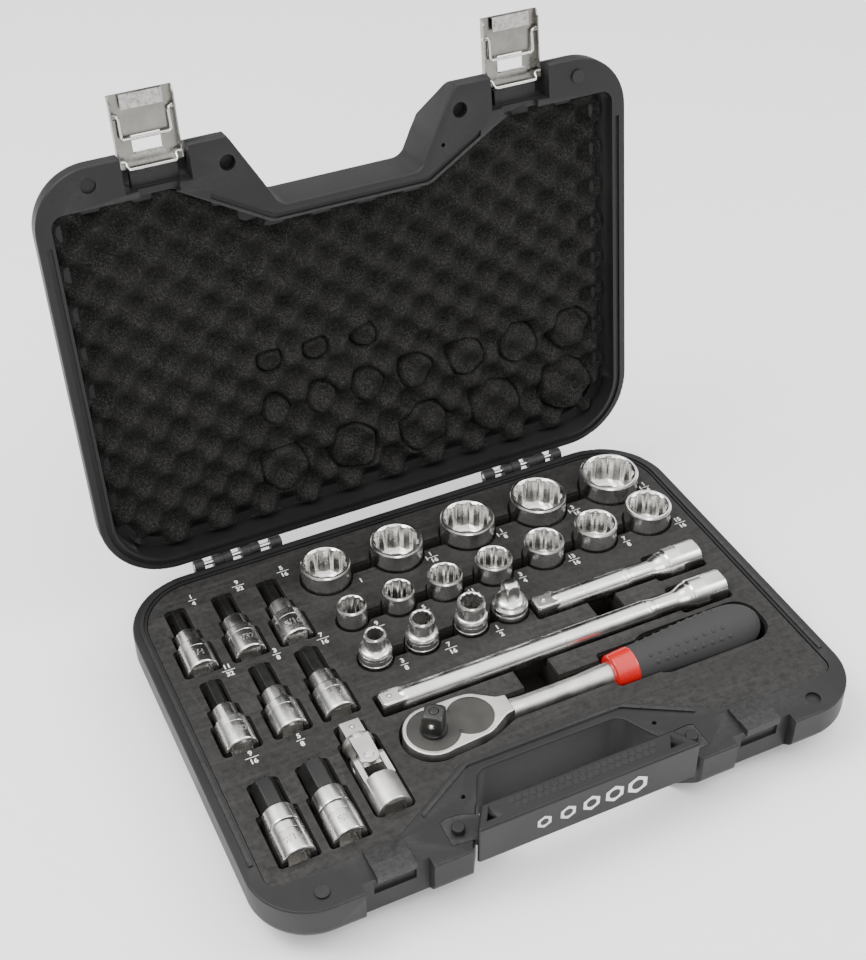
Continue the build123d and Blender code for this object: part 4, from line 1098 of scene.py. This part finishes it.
@dataclass
class Ratchet:
    """The ratchet: forged handle, cover plate, drive, button, collar and rubber grip."""

    drive_lobe: float = 19.4 * MM
    small_lobe: float = 17.6 * MM
    plate_in: float = 2.6 * MM
    shank: float = 6.6 * MM
    square: float = 6.35 * MM
    square_turn: float = math.radians(-38)
    belly: float = 0.72
    grip_start: float = 13.0 * MM
    bump_angles: tuple[int, ...] = (38, 62, 118, 142, 218, 242, 298, 322)

    def places(self) -> tuple[Vector, Vector, float, float]:
        """The middles of the drive and of the small lobe, and the head's bottom and top."""
        drive, _ = middle("ratchet_drive")
        lever = next(j for j in frame["joints"] if j["name"] == "reversing_turn")["pos_m"]
        low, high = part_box("ratchet_handle")
        return drive, Vector(lever), low.z, high.z

    def head(self) -> None:
        """Makes the head and shank."""
        drive, lobe, low, high = self.places()
        y = drive.y
        start, finish = 76, 284
        angles = [math.radians(start + (finish - start) * step / 32) for step in range(33)]
        outline = [Vector((drive.x + self.drive_lobe * math.cos(angle), y + self.drive_lobe * math.sin(angle)))
                   for angle in angles]
        neck = self.shank + 1.2 * MM
        near, bend, far, end = lobe.x - 2 * MM, lobe.x + 6.5 * MM, lobe.x + 21 * MM, lobe.x + 27 * MM
        tail = rounded_outline([(near, y - 17.4 * MM, 0), (bend, y - 16.6 * MM, 16 * MM), (far, y - neck, 7 * MM),
                                (end, y - neck + 1 * MM, 0), (end, y + neck - 1 * MM, 0), (far, y + neck, 7 * MM),
                                (bend, y + 18.2 * MM, 16 * MM), (near, y + 18.6 * MM, 0)], 10)
        head = slab("ratchet_handle_body", outline + tail, eased(low, high, 2.2 * MM, 0.9 * MM))
        centre_z = (low + high) / 2
        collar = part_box("grip_collar")[0].x
        bar = turned([(lobe.x + 14 * MM, 3 * MM), (lobe.x + 16 * MM, self.shank + 1.0 * MM),
                      (end, self.shank + 0.8 * MM), (lobe.x + 36 * MM, self.shank),
                      (collar - 24 * MM, self.shank), (collar - 9 * MM, self.shank + 1.1 * MM),
                      (collar + 1 * MM, self.shank + 1.6 * MM), (collar + 1.2 * MM, 5 * MM)], 2.5 * MM)
        shank = loft("shank", bar, lying_right(y, centre_z))
        pocket = slab("pocket", self.lobes(self.plate_in - 0.15 * MM),
                      [(high - 1.5 * MM, 0), (high + 1 * MM, 0)])
        combine(head, [shank], "UNION")
        combine(head, [pocket], "DIFFERENCE")
        stand_in(head, "ratchet_handle", MATT_CHROME, flat=True)

    def lobes(self, inset: float) -> list[Vector]:
        """The two-lobed outline of the plate, drawn in from the head's."""
        drive, lobe, _, _ = self.places()
        one, two = self.drive_lobe - inset, self.small_lobe - inset
        gap = (lobe - drive).to_2d()
        reach = gap.length
        along = (one ** 2 - two ** 2 + reach ** 2) / (2 * reach)
        across = math.sqrt(one ** 2 - along ** 2)
        heading = math.atan2(gap.y, gap.x)
        first, second = math.atan2(across, along), math.atan2(across, reach - along)
        points = [Vector((drive.x + one * math.cos(a), drive.y + one * math.sin(a)))
                  for a in (heading + first + (math.tau - 2 * first) * i / 56 for i in range(57))]
        points += [Vector((lobe.x + two * math.cos(a), lobe.y + two * math.sin(a)))
                   for a in (heading - (math.pi - second) + 2 * (math.pi - second) * i / 52 for i in range(1, 52))]
        return points

    def plate(self) -> None:
        """Makes the cover plate and its two screws."""
        _, _, _, high = self.places()
        cover = slab("ratchet_plate_body", self.lobes(self.plate_in + 0.1 * MM),
                     eased(high - 1.6 * MM, high - 0.12 * MM, 0.1 * MM, 0.3 * MM))
        stand_in(cover, "ratchet_plate", PLATE)
        low_corner, high_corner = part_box("plate_screws")
        spots = [(high_corner.x - 1.25 * MM, low_corner.y + 1.25 * MM),
                 (low_corner.x + 1.25 * MM, high_corner.y - 1.25 * MM)]
        screws = []
        for index, (x, y) in enumerate(spots):
            top = high - 0.02 * MM
            screw = loft(f"screw{index}", turned([(top - 1 * MM, 1.35 * MM), (top - 0.15 * MM, 1.35 * MM),
                                                  (top, 1.15 * MM), (top, 0.7 * MM)], 0.12 * MM)
                         + [hexagon(top, 0.62 * MM), hexagon(top - 0.6 * MM, 0.6 * MM)],
                         standing(x, y), count=48)
            screws.append(screw)
        stand_in(merge("plate_screws_body", screws), "plate_screws", OXIDE)

    def drive(self) -> None:
        """Makes the drive with its flange, square and ball, and the button in its end."""
        centre, half = middle("ratchet_drive")
        top = centre.z + half.z
        _, _, low, high = self.places()
        reach = self.square * 1.37
        rings = turned([(low + 4 * MM, 8.2 * MM), (high - 0.5 * MM, 8.4 * MM), (high + 1.9 * MM, 8.65 * MM),
                        (high + 2.6 * MM, 8.1 * MM)], 0.4 * MM)
        rings += [square(high + 2.65 * MM + (top - high - 4.6 * MM) * share, self.square, reach)
                  for share in (0.0, 0.1, 0.4, 0.7, 0.9)]
        rings += [square(top - 1.5 * MM, self.square, reach - 0.35 * MM),
                  square(top - 0.8 * MM, self.square - 0.12 * MM, reach - 1.15 * MM),
                  square(top - 0.25 * MM, self.square - 0.6 * MM, reach - 2.0 * MM),
                  square(top, self.square - 1.3 * MM, reach - 2.9 * MM),
                  Ring(top, 3.3 * MM), Ring(top - 0.2 * MM, 3.05 * MM), Ring(top - 3 * MM, 3.0 * MM)]
        turn = Matrix.Rotation(self.square_turn, 4, "Z")
        stand_in(loft("ratchet_drive_body", rings, standing(centre.x, centre.y) @ turn), "ratchet_drive", OXIDE)
        button = loft("release_button_body",
                      turned([(top - 5 * MM, 2.7 * MM), (top - 0.1 * MM, 2.7 * MM), (top + 0.18 * MM, 2.35 * MM),
                              (top + 0.2 * MM, 1.0 * MM)], 0.25 * MM), standing(centre.x, centre.y), count=64)
        stand_in(button, "release_button", OXIDE)
        out = Matrix.Rotation(self.square_turn - math.pi / 2, 3, "Z") @ Vector((1, 0, 0))
        detent_ball("ratchet_drive", Vector((centre.x, centre.y, high + 9.4 * MM)) + out * self.square, out,
                    1.9 * MM)

    def grip(self) -> None:
        """Makes the red collar and the rubber grip with its rows of bumps."""
        low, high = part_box("grip_collar")
        y, z = (low.y + high.y) / 2, (low.z + high.z) / 2
        wide = (high.z - low.z) / 2
        collar = turned([(low.x, 7 * MM), (low.x, wide - 2.6 * MM), (low.x + 1.0 * MM, wide - 1.2 * MM),
                         (high.x - 1.2 * MM, wide - 0.05 * MM), (high.x, wide - 0.3 * MM),
                         (high.x, 9 * MM)], 0.6 * MM)
        stand_in(loft("grip_collar_body", collar, lying_right(y, z)), "grip_collar", RED)
        low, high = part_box("ratchet_grip")
        wide = (high.z - low.z) / 2
        length = high.x - low.x

        def bulge(share: float) -> float:
            """The grip's radius at a share of its length."""
            if share < self.belly:
                swell = math.sin(share / self.belly * math.pi / 2) ** 1.6
                return self.grip_start + (wide - self.grip_start) * swell
            fall = (share - self.belly) / 0.28
            return wide * math.sqrt(max(1 - fall ** 2.4, 0.0))

        shares = [i / 40 for i in range(36)] + [0.9, 0.925, 0.95, 0.97, 0.985, 0.995, 1.0]
        rings = [Ring(low.x, 9 * MM)]
        rings += [Ring(low.x + length * share, max(bulge(share) - 0.15 * MM, 1.2 * MM)) for share in shares]
        stand_in(loft("ratchet_grip_body", rings, lying_right(y, z)), "ratchet_grip", RUBBER, smooth=60)
        bumps = []
        for row, angle in enumerate(self.bump_angles):
            for index in range(9):
                share = 0.1 + index * 0.068 + (0.034 if row % 2 else 0.0)
                heading = math.radians(angle)
                out = Vector((0, math.cos(heading), math.sin(heading)))
                spot = Vector((low.x + length * share, y, z)) + out * (bulge(share) - 0.35 * MM)
                facing = Matrix.Translation(spot) @ out.to_track_quat("Z", "Y").to_matrix().to_4x4()
                dome = [Ring(0.85 * MM * math.sin(a), max(1.5 * MM * math.cos(a), 0.02 * MM))
                        for a in (math.pi / 2 * i / 5 for i in range(6))]
                bumps.append(loft(f"bump{row}_{index}", dome, facing, count=16))
        dress(merge("grip_bumps", bumps), "ratchet", RUBBER, smooth=80)

    def build(self) -> None:
        """Makes the whole ratchet."""
        self.head()
        self.plate()
        self.drive()
        self.grip()
        stand_in(refined("reversing_lever", 0.3 * MM), "reversing_lever", OXIDE, flat=True)


# ---------------------------------------------------------------- case
def lid_swing(angle: float = -97.9) -> Matrix:
    """Swings the lid from shut to open, about its hinge, by an angle in degrees."""
    hinge = next(joint for joint in frame["joints"] if joint["name"] == "lid_hinge")
    pivot = Matrix.Translation(hinge["pos_m"])
    return pivot @ Matrix.Rotation(math.radians(angle), 4, "X") @ pivot.inverted()


@dataclass
class EggCrateFoam:
    """The foam in the lid: rows of soft peaks and pits, marked by the sockets it presses on."""

    pitch_x: float = 32.4 * MM
    pitch_y: float = 27.0 * MM
    pit_at: Point = (80.2 * MM, -47.4 * MM)
    peak_z: float = 48.5 * MM
    pit_depth: float = 13.0 * MM
    back_z: float = 70.5 * MM
    side: float = 187.6 * MM
    back: float = 133.2 * MM
    front: float = -116.4 * MM
    notch: Point = (54.5 * MM, -82.4 * MM)
    spare: float = 4 * MM
    step: float = 1.0 * MM
    fine: Point = (420, 0.35 * MM)
    coarse: Point = (90, 0.7 * MM)
    press_width: float = 0.95 * MM
    press_depth: float = 4.5 * MM

    def outline(self) -> list[Vector]:
        """The foam's outline, stepped back at the handle."""
        x, y = self.notch
        right = [(x, y, 12 * MM), (114 * MM, self.front, 8 * MM), (self.side, self.front, 8 * MM),
                 (self.side, self.back, 37 * MM)]
        left = [(-across, along, radius) for across, along, radius in reversed(right)]
        return rounded_outline(left + right, 10)

    def rings(self) -> list[Place]:
        """Where the sockets press, as (x, y, radius)."""
        marks = []
        for node in frame["nodes"]:
            if node.startswith("socket_"):
                centre, half = middle(node)
                tall = centre.z + half.z > LONG_TOP
                marks.append((centre.x, centre.y, half.x * (0.78 if tall else 0.97)))
        return marks

    def height(self, x: float, y: float, marks: list[Place]) -> float:
        """How far the surface lies from the rim's plane at a place.

        Args:
            x: across the lid.
            y: along the lid, as it lies shut.
            marks: the sockets' rings.

        Returns:
            The height, as the lid lies shut.
        """
        u = math.tau * (x - self.pit_at[0]) / self.pitch_x
        v = math.tau * (y - self.pit_at[1]) / self.pitch_y
        wave = (math.cos(u) * math.cos(v) + 1) / 2
        depth = self.pit_depth * wave ** 1.25
        rough = noise.noise(Vector((x, y, 0)) * self.fine[0]) * self.fine[1]
        rough += noise.noise(Vector((x, y, 3)) * self.coarse[0]) * self.coarse[1]
        for ring_x, ring_y, radius in marks:
            off = math.hypot(x - ring_x, y - ring_y)
            if off < radius + 3 * MM:
                edge = math.exp(-((off - radius) / self.press_width) ** 2)
                depth = depth * (1 - 0.45 * (off < radius)) + edge * self.press_depth
        return self.peak_z + depth + rough

    def build(self) -> None:
        """Makes the foam and swings it open with the lid."""
        marks = self.rings()
        wide = int(2 * (self.side + self.spare) / self.step)
        deep = int((self.back - self.front + 2 * self.spare) / self.step)
        verts, faces = [], []
        for j in range(deep + 1):
            for i in range(wide + 1):
                x, y = -self.side - self.spare + i * self.step, self.front - self.spare + j * self.step
                verts.append((x, y, self.height(x, y, marks)))
        top = len(verts)
        verts += [(x, y, self.back_z) for x, y, _ in verts]
        row = wide + 1
        for j in range(deep):
            for i in range(wide):
                a = j * row + i
                faces.append((a, a + 1, a + row + 1, a + row))
        rim = [*range(row)] + [j * row + wide for j in range(1, deep + 1)]
        rim += [deep * row + i for i in range(wide - 1, -1, -1)] + [j * row for j in range(deep - 1, 0, -1)]
        for a, b in zip(rim, rim[1:] + rim[:1]):
            faces.append((a, b, b + top, a + top))
        faces.append([a + top for a in rim])
        foam = new_piece("egg_crate_foam_block", verts, faces)
        cutter = slab("cutter", self.outline(), [(self.peak_z - self.spare, 0), (self.back_z + 1 * MM, 0)])
        combine(foam, [cutter], "INTERSECT")
        loose = bmesh.new()
        loose.from_mesh(foam.data)
        bmesh.ops.delete(loose, geom=[v for v in loose.verts if not v.link_faces], context="VERTS")
        loose.to_mesh(foam.data)
        loose.free()
        swing = lid_swing()
        foam.data.transform(swing)
        stand_in(foam, "lid_foam", EGG_FOAM, smooth=60)
        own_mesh(foam)


@dataclass
class Tray:
    """The tray: its cut foam, its brushed skin and the printed sizes."""

    figure: float = 3.7 * MM
    lift: float = 0.03 * MM
    bar: float = 0.22 * MM
    bar_round: float = 0.1 * MM

    def fraction(self, size: Fraction, x: float, y: float, z: float, name: str) -> list[bpy.types.Object]:
        """The printed size as a stacked fraction, with any whole number at its left.

        Args:
            size: the size in inches.
            x: across the tray.
            y: along the tray.
            z: the skin's top.
            name: a name for its pieces.

        Returns:
            The pieces.
        """
        whole, part = int(size), size - int(size)
        made = []
        if whole:
            made.append(figures(name + "_whole", str(whole), self.figure, 0.05 * MM))
            made[-1].location = (x - (4.2 * MM if part else 0.0), y, z)
        if part:
            for text, lift in ((str(part.numerator), 1), (str(part.denominator), -1)):
                made.append(figures(f"{name}_{lift + 1}", text, self.figure, 0.05 * MM))
                made[-1].location = (x, y + lift * self.figure * 0.92, z)
            wide = 1.2 * MM + 1.55 * MM * len(str(part.denominator))
            bar = rounded_outline([(across * wide, along * self.bar, self.bar_round)
                                   for across, along in ((-1, -1), (1, -1), (1, 1), (-1, 1))], 3)
            levels = [(-0.02 * MM, 0), (0.025 * MM, 0)]
            made.append(slab(name + "_bar", bar, levels, Matrix.Translation((x, y, z))))
        return made

    def sizes(self) -> None:
        """Prints every size beside its pocket."""
        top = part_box("tray_sheet")[1].z + self.lift
        made = []
        for node in sorted(frame["nodes"]):
            size = size_of(node)
            centre, half = middle(node)
            if node.startswith("socket_"):
                tall = centre.z + half.z > LONG_TOP
                reach = 14.4 * MM if tall else half.x + 3 * MM
                made += self.fraction(size, centre.x + reach, centre.y - 12.9 * MM, top, node)
            elif node.startswith("hex_bit_"):
                tip = centre.y + half.y
                if tip > 0:
                    made += self.fraction(size, centre.x + 14.3 * MM, tip + 5.6 * MM, top, node)
                else:
                    made += self.fraction(size, centre.x + 1.5 * MM, tip + 21 * MM, top, node)
        dress(merge("printed_sizes", made), "case", PRINT)

    def build(self) -> None:
        """Makes the tray."""
        stand_in(refined("tray_sheet", 0.28 * MM), "tray_sheet", SHEET, flat=True)
        stand_in(refined("tray_foam", 0.0), "tray_foam", POCKET)
        self.sizes()


@dataclass
class Shells:
    """The two moulded halves of the case, with their hinge."""

    edge: float = 0.35 * MM

    def build(self) -> None:
        """Makes both halves and the pins."""
        for node in ("base_shell", "lid_shell"):
            stand_in(refined(node, self.edge), node, CASE, flat=True)
        paint_node("hinge_pins", PIN)


@dataclass
class CarryHandle:
    """The carry handle: its bar, a strip of hexagon tiles for grip, a printed row of nuts, and its studs."""

    tile: float = 2.0 * MM
    pitch: float = 4.7 * MM
    tile_rows: int = 2
    tiles: int = 20
    strip_back: float = 9.6 * MM
    nut: float = 5.4 * MM
    nuts: int = 5
    nut_pitch: float = 15.5 * MM

    def grip_tiles(self, front: float, top: float) -> None:
        """Lays the rows of hexagon tiles on the bar's top."""
        made = []
        for row in range(self.tile_rows):
            for index in range(self.tiles + row % 2):
                x = (index - (self.tiles - 1 + row % 2) / 2) * self.pitch
                y = front + self.strip_back + (row - (self.tile_rows - 1) / 2) * self.pitch * 0.88
                rings = [hexagon(top - 0.2 * MM, self.tile), hexagon(top + 0.15 * MM, self.tile),
                         hexagon(top + 0.3 * MM, self.tile - 0.2 * MM)]
                turn = Matrix.Rotation(math.radians(30), 4, "Z")
                made.append(loft(f"tile{row}_{index}", rings, standing(x, y) @ turn, count=24))
        dress(merge("handle_grip_tiles", made), "case", HANDLE)

    def nut_row(self, front: float, middle_z: float) -> None:
        """Prints a row of nut outlines on the bar's front."""
        made = []
        for index in range(self.nuts):
            x = (index - (self.nuts - 1) / 2) * self.nut_pitch
            facing = Vector((0, -1, 0)).to_track_quat("Z", "Y").to_matrix().to_4x4()
            place = Matrix.Translation((x, front, middle_z)) @ facing
            outer, inner = self.nut * (0.82 + 0.09 * index), (0.5 + 0.06 * index) * self.nut
            rings = [hexagon(-0.03 * MM, outer), hexagon(0.04 * MM, outer), Ring(0.04 * MM, inner),
                     Ring(-0.03 * MM, inner)]
            made.append(loft(f"nut{index}", rings, place, closed=True, count=96))
        dress(merge("handle_nut_row", made), "case", PRINT)

    def build(self) -> None:
        """Makes the handle."""
        stand_in(refined("carry_handle", 0.4 * MM, 3), "carry_handle", HANDLE, flat=True)
        stand_in(refined("handle_studs", 0.2 * MM), "handle_studs", HANDLE, flat=True)
        low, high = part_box("carry_handle")
        self.grip_tiles(low.y, high.z)
        self.nut_row(low.y, (low.z + high.z) / 2)


@dataclass
class Latches:
    """The two draw latches on the lid's front edge."""

    edge: float = 0.22 * MM

    def build(self) -> None:
        """Makes each lever, bail and link."""
        for side in ("left", "right"):
            lever = f"latch_lever_{side}"
            stand_in(refined(lever, self.edge), lever, LATCH, flat=True)
            paint_node(f"latch_bail_{side}", WIRE)
            paint_node(f"latch_link_{side}", WIRE)


# ---------------------------------------------------------------- studio
@dataclass
class Studio:
    """The camera, the floor and the lights."""

    azimuth: float = 24.30
    elevation: float = 38.73
    roll: float = -1.17
    place: Place = (-0.3252, -0.6203, 0.7531)
    lens: float = 57.66
    shift: Point = (0.0227, -0.0218)
    aim: Place = (0, 0, 0.1)
    floor_half: float = 6

    def camera(self) -> None:
        """Stands the camera."""
        heading, down, lean = (math.radians(a) for a in (self.azimuth, self.elevation, self.roll))
        forward = Vector((math.sin(heading) * math.cos(down), math.cos(heading) * math.cos(down), -math.sin(down)))
        right = Vector((math.cos(heading), -math.sin(heading), 0))
        up = right.cross(forward)
        right, up = (right * math.cos(lean) + up * math.sin(lean), up * math.cos(lean) - right * math.sin(lean))
        made = bpy.data.cameras.new("camera")
        made.lens = self.lens
        made.shift_x, made.shift_y = self.shift
        made.clip_start = 0.02
        stand = shown("camera", made)
        turn = Matrix((right, up, -forward)).transposed().to_4x4()
        stand.matrix_world = Matrix.Translation(self.place) @ turn
        bpy.context.scene.camera = stand

    def lamp(self, name: str, place: Place, size: float, power: float, tint: Colour) -> None:
        """Hangs one soft lamp, aimed at the set."""
        made = bpy.data.lights.new(name, "AREA")
        made.size = size
        made.energy = power
        made.color = tint
        stand = shown(name, made)
        stand.location = place
        stand.rotation_mode = "QUATERNION"
        stand.rotation_quaternion = (Vector(self.aim) - Vector(place)).to_track_quat("-Z", "Y")

    def build(self) -> None:
        """Sets up the floor, the lamps, the sky and the camera."""
        self.camera()
        low = START_BOX[0].z
        far = self.floor_half
        floor = new_piece("floor", [(-far, -far, low), (far, -far, low), (far, far, low), (-far, far, low)],
                          [(0, 1, 2, 3)])
        paint = bpy.data.materials.new("pale_floor")
        paint.use_nodes = True
        wires = Wiring(paint.node_tree)
        shader = paint.node_tree.nodes["Principled BSDF"]
        cloud = wires.noise(wires.add("TexCoord").outputs["Object"], 3.0)
        tone = wires.mix(cloud, (0.96, 0.96, 0.96, 1.0), (0.98, 0.98, 0.98, 1.0))
        paint.node_tree.links.new(tone, shader.inputs["Base Color"])
        shader.inputs["Roughness"].default_value = 0.9
        floor.data.materials.append(paint)
        self.sky()
        self.lamp("key", (-0.9, 0.35, 1.7), 0.9, 26, (1.0, 0.995, 0.98))
        self.lamp("fill", (1.3, -0.7, 1.3), 0.8, 12, (0.98, 0.99, 1.0))
        self.lamp("front", (-0.5, -1.5, 1.1), 0.7, 9, (1.0, 1.0, 1.0))

    def sky(self) -> None:
        """Paints the sky: bright overhead, with a dark band round the walls that gives the steel its depth."""
        world = bpy.data.worlds.new("studio")
        bpy.context.scene.world = world
        world.use_nodes = True
        wires = Wiring(world.node_tree)
        height = wires.add("SeparateXYZ", {0: wires.add("TexCoord").outputs["Generated"]}).outputs[2]
        ramp = wires.add("ValToRGB", {0: wires.ramp(height, -1.0, 1.0)})
        stops = ((0.0, 0.9), (0.5, 0.9), (0.53, 0.16), (0.68, 0.24), (0.76, 1.3), (0.88, 2.2), (1.0, 2.3))
        while len(ramp.color_ramp.elements) < len(stops):
            ramp.color_ramp.elements.new(0.5)
        for element, (at, shade) in zip(ramp.color_ramp.elements, stops):
            element.position = at
            element.color = (shade, shade, shade, 1.0)
        world.node_tree.links.new(ramp.outputs[0], world.node_tree.nodes["Background"].inputs["Color"])
        world.node_tree.nodes["Background"].inputs["Strength"].default_value = 1.0


def main() -> None:
    """Builds every sub-assembly in order."""
    logging.basicConfig(level=logging.INFO, format="%(name)s %(message)s")
    build_groups()
    Studio().build()
    Shells().build()
    CarryHandle().build()
    Latches().build()
    Tray().build()
    EggCrateFoam().build()
    row = SocketRow()
    for node in sorted(frame["nodes"]):
        if node.startswith("socket_"):
            row.build(node)
        elif node.startswith("hex_bit_"):
            BitSocket(node.removeprefix("hex_bit_")).build()
    DriveAdapter().build()
    ExtensionBar("extension_bar_long", 62 * MM).build()
    ExtensionBar("extension_bar_short", 30 * MM).build()
    UniversalJoint().build()
    Ratchet().build()


if __name__ == "__main__":
    main()
